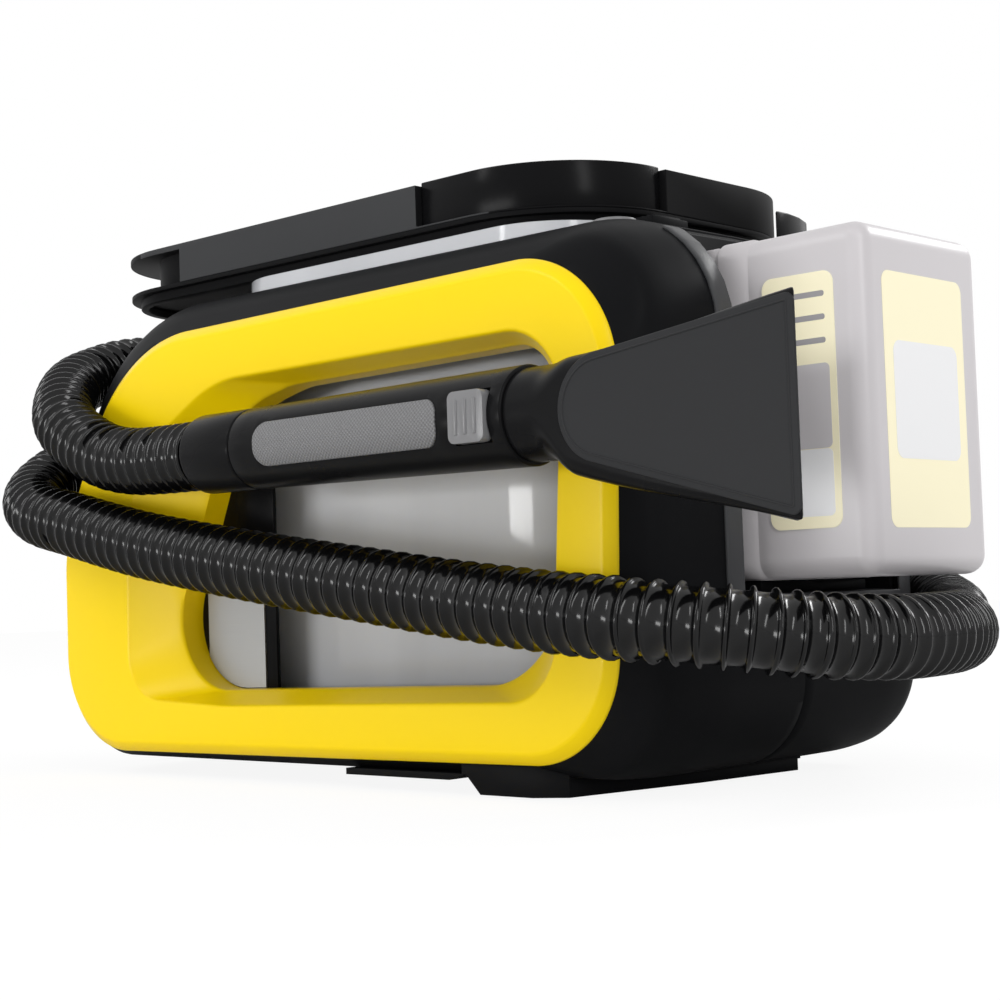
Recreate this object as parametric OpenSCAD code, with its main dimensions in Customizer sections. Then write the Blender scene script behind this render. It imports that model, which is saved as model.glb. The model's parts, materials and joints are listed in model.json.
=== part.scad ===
// Battery spot extractor: housing, lift-out tank, battery, hose and hand tool.
// Millimetres. +X runs to the battery end, +Y to the back, +Z up. Z = 0 is the floor under the feet.

/* [Housing] */
// Width of the housing
body_w = 380; // [360:1:420]
// Height of the housing's top face
body_top = 230; // [222:1:240]
// Height of the housing's underside
body_bottom = 6; // [5:1:9]
// Back face of the housing, measured from the middle
body_back = 104; // [98:1:114]
// Wall of the housing shells
wall = 3; // [2.5:0.1:4]
// Parting line between front and rear shell
seam_y = -2; // [-10:1:6]

/* [Window bezel] */
// Left edge of the bezel
bezel_left = -182.5; // [-183.5:0.5:-178]
// Right edge of the bezel
bezel_right = 177; // [172:0.5:181]
// Top edge of the bezel
bezel_top = 210.4; // [206:0.2:213]
// Bottom edge of the bezel
bezel_bottom = 11.4; // [10:0.2:14]
// Front face of the bezel, in front of the middle
bezel_front = 102.5; // [100:0.5:108]
// Thickness of the bezel's flange
bezel_t = 4.5; // [3.5:0.5:6]
// Wall of the pocket behind the bezel
pocket_wall = 2.5; // [2:0.5:3]
// Depth of the pocket
pocket_depth = 26; // [22:1:30]

/* [Tank] */
// Left end of the tank
tank_left = -108; // [-112:1:-104]
// Right end of the tank
tank_right = 118; // [110:1:119]
// Front wall of the tank
tank_front = -58; // [-60:1:-54]
// Back wall of the tank
tank_back = 76; // [66:1:78]
// Corner radius of the tank
tank_r = 40; // [30:1:46]
// Wall of the tank
tank_wall = 2.5; // [2:0.1:3.5]
// Gap between the tank and its cradle
tank_gap = 2; // [1:0.1:2.5]
// Floor height of the cradle
cradle_floor = 22; // [20:1:26]
// Place of the wall between clean and dirty water
divider_x = 54; // [30:1:70]

/* [Lid and handle] */
// Left end of the handle ring
ring_left = -217; // [-222:1:-205]
// Right end of the handle ring
ring_right = 124; // [122:1:128]
// Front face of the handle ring
ring_front = -60; // [-62:1:-58]
// Back face of the handle ring
ring_back = 125; // [118:1:128]
// Corner radius of the handle ring
ring_r = 60; // [50:1:66]
// Gap between the housing's top and the lid
lid_gap = 6; // [4:0.5:8]
// Thickness of the lid
lid_t = 6; // [4:0.5:8]
// Height of the handle ring above the lid
ring_h = 19.5; // [16:0.5:24]
// Skin of the handle ring
ring_skin = 3; // [2.5:0.5:4]
// Width of the handle ring
ring_band = 20; // [16:1:24]
// Depth of the finger recess round the corner
recess_d = 3.5; // [2.5:0.5:6]

/* [Battery] */
// Length of the battery pack
batt_l = 136; // [120:1:140]
// Width of the battery pack
batt_w = 88; // [80:1:92]
// Depth of the battery pack
batt_d = 75; // [68:1:78]
// Outer face of the battery pack
batt_out = 241.5; // [238:0.5:245]
// Underside of the battery pack
batt_z = 81.8; // [80:0.1:86]
// Middle of the battery bay, behind the middle of the housing
bay_y = 14.5; // [12:0.5:18]
// Gap behind the battery in its bay
bay_gap = 3.5; // [2:0.5:5]
// Gap beside the battery in its bay
bay_side = 12; // [8:0.5:13]

/* [Hand tool] */
// Height of the hand tool's axis
tool_z = 145.5; // [143:0.5:150]
// Distance of the hand tool's axis in front of the middle
tool_y = 124.5; // [123:0.5:128]
// Radius of the cuff
cuff_r = 17.3; // [16.5:0.1:18]
// Radius of the handle at the nozzle
neck_r = 19; // [18:0.1:19.2]
// Radius of the air channel
channel_r = 12; // [10:0.5:13]
// Left end of the cuff
cuff_x = -34; // [-38:1:-30]
// Length of the cuff
cuff_l = 34; // [28:1:36]
// Length of the handle
handle_l = 158.5; // [152:0.5:165]
// Length of the nozzle
nozzle_l = 130.5; // [120:0.5:140]
// Width of the nozzle's mouth
mouth_w = 74.5; // [60:0.5:84]

/* [Hose] */
// Outer diameter over the ribs
hose_d = 31; // [29:0.5:32]
// Depth of a rib
rib_depth = 1.8; // [1:0.1:2.5]
// Bore of the hose
hose_bore = 24; // [20:0.5:25]
// Number of ribs
rib_count = 196; // [100:1:200]

/* [Motor and pump] */
// Left-right place of the suction motor
motor_x = -150; // [-151:0.5:-149]
// Height of the suction motor's axis
motor_z = 120; // [115:1:135]
// Outer radius of the turbine housing
turbine_r = 32; // [30:0.5:33]
// Radius of the impeller
impeller_r = 27; // [24:0.5:28]
// Radius of the motor shaft
shaft_r = 3; // [2.5:0.5:4]
// Running clearance of a shaft in its bearing
run_gap = 0.03; // [0.01:0.01:0.1]
// Clearance between a moving piece and its guide
slide_gap = 0.4; // [0.3:0.1:0.8]

/* [Hidden] */
$fn = 48;
eps = 0.01;
touch = 0.3;                                   // gap between curved faces at rest
half_w = body_w / 2;
bezel_y = -bezel_front;                        // front plane of the bezel
shell_front = bezel_y + bezel_t;               // where bezel and front shell meet
lid_z = body_top + lid_gap;
ring_z = lid_z + lid_t;
ring_top = ring_z + ring_h;
bay_x = batt_out - batt_d - bay_gap;           // back wall face of the bay
bay_front = bay_y - batt_w / 2 - bay_side;
bay_back = bay_y + batt_w / 2 + bay_side;
bay_floor = batt_z - 4.8;
bay_wall = 3;
well_left = tank_left - tank_gap;
well_right = tank_right + tank_gap;
well_front = tank_front - tank_gap;
well_back = tank_back + tank_gap;
tank_z = cradle_floor + 2.5 + touch;
seat = 2.2;                                    // wall of the cradle
spine_x = (well_right + seat + bay_x) / 2;     // middle of the web between tank and battery
neck_x = cuff_x + cuff_l + handle_l;           // joint between handle and nozzle
handle_x = cuff_x + cuff_l;
hose_r = hose_d / 2;
port_x = -58;                                  // axis where the hose port enters the housing
port_z = 138;
port_bend = 22;
port_y = body_back + port_bend;
port_mouth = port_x - port_bend - 20;
port_r = 17;
duct_end = body_back - 8;                       // where duct and hose port meet
button_x = neck_x - 16;

// ---- outlines ----------------------------------------------------------------------------
// The bezel's outline: [x, z, radius] of the discs that it wraps.
BEZEL = [[bezel_left + 46, bezel_bottom + 46, 46], [bezel_right - 48.2, bezel_bottom + 46.2, 44.2],
         [bezel_right - 49.1, bezel_top - 49.1, 49.1], [bezel_left + 103.4, bezel_top - 92.1, 89.3],
         [bezel_left + 81, bezel_bottom + 83.4, 81]];
// The crease where the pocket starts.
CREASE = [[bezel_left + 77.9, bezel_bottom + 47.2, 22.7], [bezel_right - 58.1, bezel_bottom + 51.7, 25.5],
          [bezel_right - 53.8, bezel_top - 55.7, 27.9], [bezel_left + 142.5, bezel_top - 102.2, 73.4],
          [bezel_left + 126, bezel_bottom + 92.4, 69.8]];
// The window opening at the bottom of the pocket.
WINDOW = [[bezel_left + 111.8, bezel_bottom + 61.4, 32.4], [bezel_right - 82.7, bezel_bottom + 75.6, 43.7],
          [bezel_right - 59, bezel_top - 50.7, 19], [bezel_left + 168.3, bezel_top - 82.6, 49],
          [bezel_left + 160.3, bezel_bottom + 104.7, 58.8]];
// Cross-sections of the housing from front to back: [y, margin at the sides, margin below, margin above,
// radius of the left shoulder].
SECTIONS = [[shell_front + 12, 5.5, 2, 10.5, 90], [shell_front + 28, 2.5, 0.5, 3.5, 84],
            [shell_front + 48, 0.6, 0, 0.3, 80], [seam_y + 2, 0, 0, 0, 78],
            [body_back - 44, 0.6, 0.3, 0.5, 76],
            [body_back - 24, 2, 2, 2.5, 70], [body_back - 9.5, 10, 11, 12, 58], [body_back, 30, 30, 31, 42]];
top_r = 50;
low_r = 38;

module disc(x, z, r, y, t = 0.5) translate([x, y, z]) rotate([-90, 0, 0]) cylinder(r = r, h = t);
module wrap(list, grow, y, t = 0.5) for (c = list) disc(c[0], c[1], c[2] + grow, y, t);
module section(s, inset, y) {
    low = max(8, low_r - s[2]);
    for (side = [-1, 1]) disc(side * (half_w - s[1] - low), body_bottom + s[2] + low, low - inset, y);
    high = max(8, top_r - s[3]);
    disc(half_w - s[1] - high, body_top - s[3] - high, high - inset, y);
    disc(s[1] + s[4] - half_w, body_top - s[3] - s[4], s[4] - inset, y);
}
// The housing's outer form, or with an inset its inside.
module housing_form(inset = 0) hull($fn = 32) {
    wrap(BEZEL, -inset, shell_front - (inset > 0 ? 1 : 0), 0.5);
    for (s = SECTIONS) section(s, inset, s[0] - 0.5 - (s[0] > body_back - 20 ? inset : 0));
}
module round_rect(x0, x1, y0, y1, r) {
    translate([x0 + r, y0]) square([x1 - x0 - 2 * r, y1 - y0]);
    translate([x0, y0 + r]) square([x1 - x0, y1 - y0 - 2 * r]);
    for (x = [x0 + r, x1 - r], y = [y0 + r, y1 - r]) translate([x, y]) circle(r);
}
module box(x0, x1, y0, y1, z0, z1) translate([x0, y0, z0]) cube([x1 - x0, y1 - y0, z1 - z0]);
module pillar(x, y, z0, z1, r) translate([x, y, z0]) cylinder(r = r, h = z1 - z0);
module along_x(x0, x1, y, z, r) translate([x0, y, z]) rotate([0, 90, 0]) cylinder(r = r, h = x1 - x0);
module along_y(x, y0, y1, z, r) translate([x, y0, z]) rotate([-90, 0, 0]) cylinder(r = r, h = y1 - y0);
module facing_front(y0, y1) translate([0, y1, 0]) rotate([90, 0, 0]) linear_extrude(y1 - y0) children();

// ---- housing -------------------------------------------------------------------------------
SCREWS = [[-140, 54], [0, 48], [140, 54], [-140, 184], [10, 190], [140, 184]];
vent_x = motor_x + 24;
vent_w = 52;
vent_z = 96;
vent_h = 66;
vent_n = 8;
vent_step = vent_h / vent_n;
module top_well() translate([0, 0, cradle_floor + 60]) linear_extrude(200)
    cradle_plan(seat);
module bay_notch() box(bay_x - bay_wall, half_w + 20, bay_front - bay_wall, bay_back + bay_wall,
                       bay_floor - bay_wall, body_top + 20);
module control_cuts() {
    pillar(power_x, power_y, body_top - 12, body_top + 12, power_r + slide_gap);
    translate([0, 0, body_top - 12]) linear_extrude(24) release_plan(slide_gap);
}
module front_shell() color("#1c1d1f") {
    difference() {
        housing_form();
        housing_form(wall);
        box(-400, 400, seam_y, 200, -50, 400);
        top_well();
        bay_notch();
        control_cuts();
    }
    for (x = [-90, 100]) pillar(x, -48, body_bottom + 1, cradle_floor, 7);
}
module rear_shell() color("#191a1c") {
    difference() {
        union() {
            difference() {
                housing_form();
                housing_form(wall);
            }
            for (s = SCREWS) along_y(s[0], body_back - 20, body_back - wall / 2, s[1], 5);
        }
        box(-400, 400, -200, seam_y, -50, 400);
        top_well();
        bay_notch();
        control_cuts();
        along_y(port_x, body_back - 30, body_back + 10, port_z, port_r + 0.2);
        box(vent_x - vent_w / 2, vent_x + vent_w / 2, body_back - 40, body_back + 20, vent_z,
            vent_z + vent_h);
        for (s = SCREWS) along_y(s[0], body_back - 18, body_back + 5, s[1], 2.2);
    }
    for (x = [-90, 100]) pillar(x, 56, body_bottom + 1, cradle_floor, 7);
}
module window_bezel() color("#ffe000") difference() {
    union() {
        hull() {
            wrap(BEZEL, -bezel_t, bezel_y, 0.4);
            wrap(BEZEL, 0, bezel_y + bezel_t - 0.5, 0.5);
        }
        hull() {
            wrap(CREASE, pocket_wall, bezel_y + bezel_t - 0.5, 0.5);
            wrap(WINDOW, pocket_wall, bezel_y + 14, 0.5);
        }
        hull() wrap(WINDOW, pocket_wall, bezel_y + 14, pocket_depth - 14);
    }
    hull() {
        wrap(CREASE, 0, bezel_y - 0.5, 0.5);
        wrap(WINDOW, 0, bezel_y + 14, 0.5);
    }
    hull() wrap(WINDOW, 0, bezel_y + 14, pocket_depth);
}
panel_y = bezel_y + pocket_depth;
panel_left = WINDOW[0][0] - WINDOW[0][2] - 2;
panel_low = WINDOW[0][1] - WINDOW[0][2] - 1.8;
panel_right = panel_left + 56;
module info_panel() color("#111214") facing_front(panel_y, panel_y + 2) difference() {
    translate([panel_left, panel_low]) square([panel_right - panel_left, bezel_top - 32 - panel_low]);
    translate([panel_left, bezel_top - 76]) circle(16);
}
module metal_plate() color("#a9acae") intersection() {
    facing_front(panel_y - 0.8, panel_y) translate([panel_left + 7.5, panel_low]) square([41, 62]);
    hull() wrap(WINDOW, -0.4, panel_y - 2, 4);
}

// ---- feet ----------------------------------------------------------------------------------
pad_h = 0.8;
ledge_left = 19;
skid_right = 126;
SKID = [[88, shell_front + 0.5], [skid_right, shell_front + 0.5], [skid_right + 13, shell_front + 7.5],
        [151, -24], [157, 37], [skid_right, 37], [skid_right, 84], [96, 84], [96, -40], [88, -60]];
module right_skid() color("#151617") difference() {
    union() {
        translate([0, 0, pad_h]) linear_extrude(26) polygon(SKID);
        box(ledge_left, 90, shell_front + 0.5, shell_front + 18, body_bottom, body_bottom + 2.7);
    }
    facing_front(-120, 100) polygon([[80, -1], [98, -1], [98, pad_h], [90, 8.8], [80, body_bottom - 0.2]]);
    housing_form();
}
foot_left = 22 - half_w;                       // left edge of the left foot
foot_w = 56;
rail_back = body_back - 20;
rail_w = 28;
module rear_rail() color("#151617") difference() {
    translate([0, 0, pad_h]) linear_extrude(20) {
        round_rect(foot_left, foot_left + foot_w, 0, rail_back, 10);
        translate([foot_left + rail_w, rail_back - rail_w]) square([236, rail_w]);
    }
    housing_form();
}
// One anti-slip strip runs along the skid, across the back and along the left foot.
strip_w = 10;
strip_l = foot_left + 11;
strip_r = skid_right - 5;
strip_back = rail_back - 9;
module rubber_strip() color("#0b0b0c") linear_extrude(pad_h)
    polygon([[strip_r - strip_w, shell_front + 8], [strip_r, shell_front + 8], [strip_r, strip_back],
             [strip_l, strip_back], [strip_l, 8], [strip_l + strip_w, 8],
             [strip_l + strip_w, strip_back - strip_w], [strip_r - strip_w, strip_back - strip_w]]);

// ---- cradle --------------------------------------------------------------------------------
module cradle_plan(grow) round_rect(well_left - grow, well_right + grow, well_front - grow, well_back + grow,
                                    tank_r + tank_gap + grow);
blind_y = well_front + 14;                     // plate that closes the window's right margin
module tank_cradle() color("#2a2c2f") difference() {
    union() {
        translate([0, 0, cradle_floor]) linear_extrude(body_top - cradle_floor - 6) cradle_plan(seat);
        box(well_right - 8, WINDOW[2][0] + WINDOW[2][2] + 4, blind_y, blind_y + 2.5, bezel_bottom + 24,
            bezel_top - 24);
    }
    translate([0, 0, cradle_floor + 2.5]) linear_extrude(body_top) cradle_plan(0);
    box(panel_left + 26, well_right - 4, well_front - 20, blind_y, bezel_bottom + 24, bezel_top - 24);
    along_y(port_x, well_back - 5, well_back + 10, port_z, channel_r + 2);
    pillar(water_x, water_y, cradle_floor - 1, cradle_floor + 4, dock_r);
}

// ---- battery bay ---------------------------------------------------------------------------
module battery_bay() color("#141516") difference() {
    intersection() {
        box(bay_x - bay_wall, half_w - 4, bay_front - bay_wall, bay_back + bay_wall, bay_floor - bay_wall,
            body_top - 4);
        housing_form(wall - 2.6);
    }
    box(bay_x, half_w + 10, bay_front, bay_back, bay_floor, body_top + 10);
    box(bay_x - 10, bay_x + 10, bay_y - 22, bay_y + 22, bay_floor + 20, bay_floor + 64);
}
// Rails and ledge that carry the battery.
module battery_rails() color("#1d1f21") {
    for (side = [-1, 1]) box(bay_x, batt_in - touch, bay_y + side * 33 - 5, bay_y + side * 33 + 5,
                             batt_z - touch, batt_z + batt_l - 20);
    box(bay_x, bay_x + 22, bay_y - 38, bay_y + 38, bay_floor, batt_z - touch);
}
rim_out = 8;
module bay_rim() color("#5c5f62") difference() {
    intersection() {
        housing_form(-1.4);
        box(bay_x + 2, half_w + 10, bay_front - bay_wall - rim_out, bay_back + bay_wall + rim_out,
            bay_floor - bay_wall - rim_out, body_top + 10);
    }
    housing_form();
    box(bay_x - 10, half_w + 20, bay_front - 0.5, bay_back + 0.5, bay_floor - 0.5, body_top + 20);
}
module terminal_block() color("#2b2d30") {
    difference() {
        box(bay_x - bay_wall - 6, bay_x + bay_gap - 0.5, bay_y - 21.6, bay_y + 21.6, bay_floor + 20.4,
            bay_floor + 63.6);
        for (y = [-13, -4.5, 4.5, 13]) box(bay_x - 1, bay_x + 10, bay_y + y - 1.2, bay_y + y + 1.2,
                                           bay_floor + 30, bay_floor + 70);
    }
    for (y = [-13, -4.5, 4.5, 13]) box(bay_x - 1 - eps, bay_x + 1.4, bay_y + y - 0.4, bay_y + y + 0.4,
                                       bay_floor + 30 + eps, bay_floor + 58);
}
board_x = spine_x - 4;
module circuit_board() color("#1d5c38") {
    box(board_x, board_x + 1.6, blind_y + 6, 62, 84, 196);
    for (c = [[-30, 110, 12], [-30, 150, 16], [0, 178, 10], [40, 176, 14]])
        box(board_x - c[2] / 2, board_x + eps, c[0] - 8, c[0] + 8, c[1] - 8, c[1] + 8);
    for (z = [92, 188], y = [-20, 52]) along_x(board_x + 1.6 - eps, bay_x - bay_wall, y, z, 3);
}

// ---- suction motor -------------------------------------------------------------------------
turbine_y = -30;
turbine_t = 26;
can_y = turbine_y + turbine_t;
can_r = 26;
can_l = 56;
shaft_y0 = turbine_y + 5;
module motor_bracket() color("#3a3c3f") difference() {
    intersection() {
        box(motor_x - 26, motor_x + 26, turbine_y + 2, can_y + can_l - 4, body_bottom, motor_z - 6);
        facing_front(turbine_y, can_y + can_l)
            round_rect(-half_w + wall + 0.6, 0, body_bottom + wall + 0.5, 200, low_r - wall - 0.6);
    }
    along_y(motor_x, turbine_y - 10, can_y, motor_z, turbine_r);
    along_y(motor_x, can_y - 1, can_y + can_l + 10, motor_z, can_r);
    box(motor_x - 21, motor_x + 21, turbine_y + 6, can_y + can_l - 8, body_bottom + wall - 5, motor_z - 42);
    box(motor_x - 40, motor_x + 40, turbine_y + 10, can_y + can_l - 12, body_bottom + wall - 5, motor_z - 46);
}
module turbine_housing() color("#2f3134") difference() {
    along_y(motor_x, turbine_y, can_y, motor_z, turbine_r);
    along_y(motor_x, turbine_y + 2.5, can_y - 3, motor_z, turbine_r - 3);
    along_y(motor_x, turbine_y - 1, turbine_y + 5, motor_z, 13);
    along_y(motor_x, can_y - 5, can_y + 1, motor_z, 8.2);
    for (a = [30:60:330]) translate([motor_x, 0, motor_z]) rotate([0, a, 0])
        along_x(turbine_r - 6, turbine_r + 2, can_y - 12, 0, 3.5);
}
module motor_can() color("#8d9093") difference() {
    along_y(motor_x, can_y, can_y + can_l, motor_z, can_r);
    along_y(motor_x, can_y + 6, can_y + can_l - 6, motor_z, can_r - 3);
    along_y(motor_x, can_y - 1, can_y + can_l + 1, motor_z, 8);
    for (a = [0:60:300]) translate([motor_x, 0, motor_z]) rotate([0, a, 0])
        along_x(can_r - 5, can_r + 2, can_y + can_l / 2, 0, 4);
}
module motor_bearings() color("#c9ccd0") for (y = [can_y + 0.5, can_y + can_l - 5.5]) difference() {
    along_y(motor_x, y, y + 5, motor_z, 8);
    along_y(motor_x, y - 1, y + 6, motor_z, shaft_r + run_gap);
}
module motor_shaft() color("#b9bdc2") {
    along_y(motor_x, shaft_y0, can_y + can_l + 4, motor_z, shaft_r);
    along_y(motor_x, can_y + 12, can_y + can_l - 12, motor_z, 19);
}
blade_n = 9;
module impeller() color("#d8dadc") difference() {
    union() {
        along_y(motor_x, can_y - 6, can_y - 4.5, motor_z, impeller_r);
        along_y(motor_x, shaft_y0 + 1, can_y - 4.6, motor_z, 7);
        for (k = [0:blade_n - 1]) translate([motor_x, 0, motor_z]) rotate([0, 360 * k / blade_n, 0])
            box(6, impeller_r - 1, can_y - 16, can_y - 5, -0.8, 0.8);
    }
    along_y(motor_x, shaft_y0 - 2, can_y + 1, motor_z, shaft_r);
}

// ---- pump ----------------------------------------------------------------------------------
pump_r = 15;
pump_y = can_y + can_l + pump_r - 1;
pump_z = 44;
pump_x0 = -176;
pump_l = 50;
plunger_r = 5;
plunger_x = pump_x0 + 10;
module pump_body() color("#e4e6e8") {
    difference() {
        along_x(pump_x0, pump_x0 + pump_l, pump_y, pump_z, pump_r);
        along_x(pump_x0 + 3, pump_x0 + pump_l - 6, pump_y, pump_z, plunger_r + run_gap + 0.04);
        along_x(pump_x0 + 3, pump_x0 + 14, pump_y, pump_z, 9);
        along_x(pump_x0 + pump_l - 8, pump_x0 + pump_l + 1, pump_y, pump_z, 2);
        along_x(pump_x0 - 1, pump_x0 + 4, pump_y, pump_z, 2);
    }
    difference() {
        box(pump_x0 + 18, pump_x0 + pump_l - 8, pump_y - 10, pump_y + 10, body_bottom + wall + 2.3, pump_z);
        along_x(pump_x0 - 1, pump_x0 + pump_l, pump_y, pump_z, pump_r - 1);
    }
}
module pump_plunger() color("#b9bdc2") {
    along_x(plunger_x, pump_x0 + pump_l - 12, pump_y, pump_z, plunger_r);
    along_x(plunger_x, plunger_x + 1.5, pump_y, pump_z, 8.4);
}
spring_turns = 4;
module pump_spring() color("#9fa3a7") {
    r = 7;
    wire = 0.5;
    x0 = pump_x0 + 3 + wire;
    x1 = plunger_x - wire - 0.05;
    steps = spring_turns * 8;
    pts = [for (i = [0:steps]) let (a = 360 * i / 8, t = i / steps)
           [x0 + (x1 - x0) * t, pump_y + r * cos(a), pump_z + r * sin(a)]];
    tube(pts, [for (p = pts) wire], 6);
}

// ---- air path ------------------------------------------------------------------------------
module hose_port() color("#1d1e20") {
    difference() {
        union() {
            along_y(port_x, duct_end, port_y - port_bend, port_z, port_r);
            translate([port_x - port_bend, port_y - port_bend, port_z]) rotate_extrude(angle = 90)
                translate([port_bend, 0]) circle(port_r);
            along_x(port_mouth, port_x - port_bend, port_y, port_z, port_r);
            along_y(port_x, body_back + 0.05, body_back + 3, port_z, 22);
        }
        along_y(port_x, body_back - 40, port_y - port_bend, port_z, channel_r);
        translate([port_x - port_bend, port_y - port_bend, port_z]) rotate_extrude(angle = 90)
            translate([port_bend, 0]) circle(channel_r);
        along_x(port_mouth - 1, port_x - port_bend, port_y, port_z, channel_r);
    }
}
module inlet_duct() color("#34363a") difference() {
    union() {
        along_y(port_x, well_back + seat, duct_end, port_z, port_r - 2);
        along_y(port_x, well_back + seat, well_back + seat + 3, port_z, port_r + 4);
    }
    along_y(port_x, well_back - 1, duct_end + 1, port_z, channel_r);
}
module docking_seal() color("#0d0d0e") difference() {
    along_y(port_x, tank_back + touch, well_back + seat, port_z, channel_r + 1.9);
    along_y(port_x, tank_back - 1, well_back + seat + 1, port_z, channel_r - 2);
}
// Clean water: from the dock under the tank to the pump.
water_x = tank_right - 32;
water_y = 12;
dock_r = 6;
pipe_r = 2.5;
pipe_z = 15;
PIPE = [[pump_x0 + pump_l, pump_y, pump_z], [pump_x0 + pump_l + 5, pump_y, pump_z],
        [pump_x0 + pump_l + 9, pump_y, pump_z - 5], [pump_x0 + pump_l + 9, pump_y, pipe_z + 10],
        [pump_x0 + pump_l + 12, pump_y, pipe_z + 2], [pump_x0 + pump_l + 20, pump_y, pipe_z],
        [water_x - 16, pump_y, pipe_z], [water_x - 4, pump_y - 5, pipe_z], [water_x, pump_y - 16, pipe_z],
        [water_x, water_y + 8, pipe_z], [water_x, water_y + 1.5, pipe_z + 1], [water_x, water_y, pipe_z + 4],
        [water_x, water_y, cradle_floor - 0.3]];
module water_pipe() color("#c9ced3") {
    line = smooth(PIPE, 4);
    tube(line, [for (p = line) pipe_r], 10);
}
module water_dock() color("#5c5f62") difference() {
    union() {
        pillar(water_x, water_y, cradle_floor, tank_z + 8, dock_r);
        pillar(water_x, water_y, cradle_floor + 2.5, cradle_floor + 2.7, dock_r + 3);
    }
    pillar(water_x, water_y, cradle_floor + 1, tank_z + 10, dock_r - 2);
    pillar(water_x, water_y, cradle_floor - 1, tank_z, 1.5);
}
module exhaust_grille() color("#202224") {
    difference() {
        union() {
            box(vent_x - vent_w / 2 - 3, vent_x + vent_w / 2 + 3, body_back - wall - 5, body_back - wall,
                vent_z - 3, vent_z + vent_h + 3);
            box(vent_x - vent_w / 2 + 0.3, vent_x + vent_w / 2 - 0.3, body_back - wall - 1, body_back - 0.8,
                vent_z + 0.3, vent_z + vent_h - 0.3);
        }
        for (k = [0:vent_n - 1])
            box(vent_x - vent_w / 2 + 3, vent_x + vent_w / 2 - 3, body_back - 30, body_back + 2,
                vent_z + vent_step * (k + 0.25), vent_z + vent_step * (k + 0.75));
    }
}

// ---- controls ------------------------------------------------------------------------------
power_x = 137;
power_y = -48;
power_r = 9;
release_x = bay_x - bay_wall - 26;               // left edge of the battery release
release_y = bay_y + 21.5;                      // its front edge
release_h = 12;
RELEASE = [[0, 39], [24, 0], [24, 10], [21.5, 22], [17, 34], [12, 41.5], [7, 43.5], [0, 43.5]];
module release_plan(grow) translate([release_x, release_y]) offset(delta = grow) polygon(RELEASE);
latch_y = -12;
module power_button() color("#7d7f82") difference() {
    pillar(power_x, power_y, body_top - 8, body_top + 0.6, power_r);
    pillar(power_x, power_y, body_top - 0.2, body_top + 5, power_r - 3);
}
module battery_release() color("#5c5f62") translate([0, 0, body_top - 8]) linear_extrude(8 + release_h)
    release_plan(0);
module tank_latch() color("#2f3134") {
    box(ring_right + touch, ring_right + 14, latch_y - 12, latch_y + 12, body_top + 0.05, body_top + 6);
    for (k = [0:2]) box(ring_right + 5 + 3 * k, ring_right + 6.5 + 3 * k, latch_y - 9, latch_y + 9,
                        body_top + 6 - eps, body_top + 7);
}
module housing_screws() color("#77797c") for (s = SCREWS) {
    along_y(s[0], body_back - 16, body_back + 1, s[1], 2);
    difference() {
        along_y(s[0], body_back, body_back + 2.4, s[1], 4);
        translate([s[0], 0, s[1]]) rotate([0, 45, 0]) {
            box(-2.6, 2.6, body_back + 1.2, body_back + 4, -0.5, 0.5);
            box(-0.5, 0.5, body_back + 1.2, body_back + 4, -2.6, 2.6);
        }
    }
}

// ---- hand tool -----------------------------------------------------------------------------
ty = -tool_y;
module turned(x, profile) translate([x, ty, tool_z]) rotate([0, 90, 0]) rotate_extrude() polygon(profile);
module hose_cuff() color("#26282a")
    turned(cuff_x, [[channel_r, 0], [cuff_r - 1, 0], [cuff_r, 1.5], [cuff_r, cuff_l - 0.8],
                    [cuff_r - 0.8, cuff_l], [channel_r, cuff_l]]);
button_w = 18;
button_h = 19.4;
button_front = ty - neck_r - 1.6;
insert_x0 = handle_x + 17;
insert_x1 = button_x - button_w / 2 - 8.5;
pocket_d = 1;
function handle_r(t) = cuff_r + (neck_r - cuff_r) * t / handle_l;
module insert_outline(grow) translate([0, tool_z])
    round_rect(insert_x0 - grow, insert_x1 + grow, -9.6 - grow, 8.8 + grow, 7);
module tool_handle() color("#232527") difference() {
    turned(handle_x, [[channel_r, 0], [cuff_r - 0.8, 0], [cuff_r, 0.8], [neck_r, handle_l - 0.6],
                      [neck_r - 0.6, handle_l], [channel_r, handle_l]]);
    intersection() {
        facing_front(ty - 30, ty) insert_outline(0.1);
        turned(handle_x, [[handle_r(0) - pocket_d, 0], [30, 0], [30, handle_l],
                          [handle_r(handle_l) - pocket_d, handle_l]]);
    }
    box(button_x - button_w / 2 - slide_gap, button_x + button_w / 2 + slide_gap, ty - neck_r - 4,
        ty - channel_r - 1.6, tool_z - button_h / 2 - slide_gap, tool_z + button_h / 2 + slide_gap);
}
module grip_insert() color("#7d7f82") translate([0, -0.02, 0]) intersection() {
    facing_front(ty - 30, ty) insert_outline(0);
    turned(handle_x, [[handle_r(0) - pocket_d, 0], [handle_r(0) + 0.5, 0],
                      [handle_r(handle_l) + 0.5, handle_l], [handle_r(handle_l) - pocket_d, handle_l]]);
}
module spray_button() color("#8c8e91") {
    difference() {
        facing_front(button_front, ty - channel_r - 3.6) translate([button_x, tool_z])
            round_rect(-button_w / 2, button_w / 2, -button_h / 2, button_h / 2, 3);
        box(button_x - button_w / 2 + 2.5, button_x + button_w / 2 - 2.5, button_front + 2, ty,
            tool_z - button_h / 2 + 3, tool_z + button_h / 2 - 3);
    }
    for (k = [-1, 0, 1]) along_z_bar(button_x + 4.8 * k);
}
module along_z_bar(x) translate([x, button_front, tool_z - 6.5]) cylinder(r = 0.9, h = 13);
module spray_valve() color("#c4c7ca")
    box(button_x - 5, button_x + 5, button_front + 4.2, ty - channel_r - 1.6, tool_z - 4, tool_z + 4);
mouth_x = neck_x + nozzle_l;
mouth_slant = 11;                              // how far the back lip stays behind the front lip
throat_r = neck_r - 1.4;                       // where the neck runs into the flat front
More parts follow.
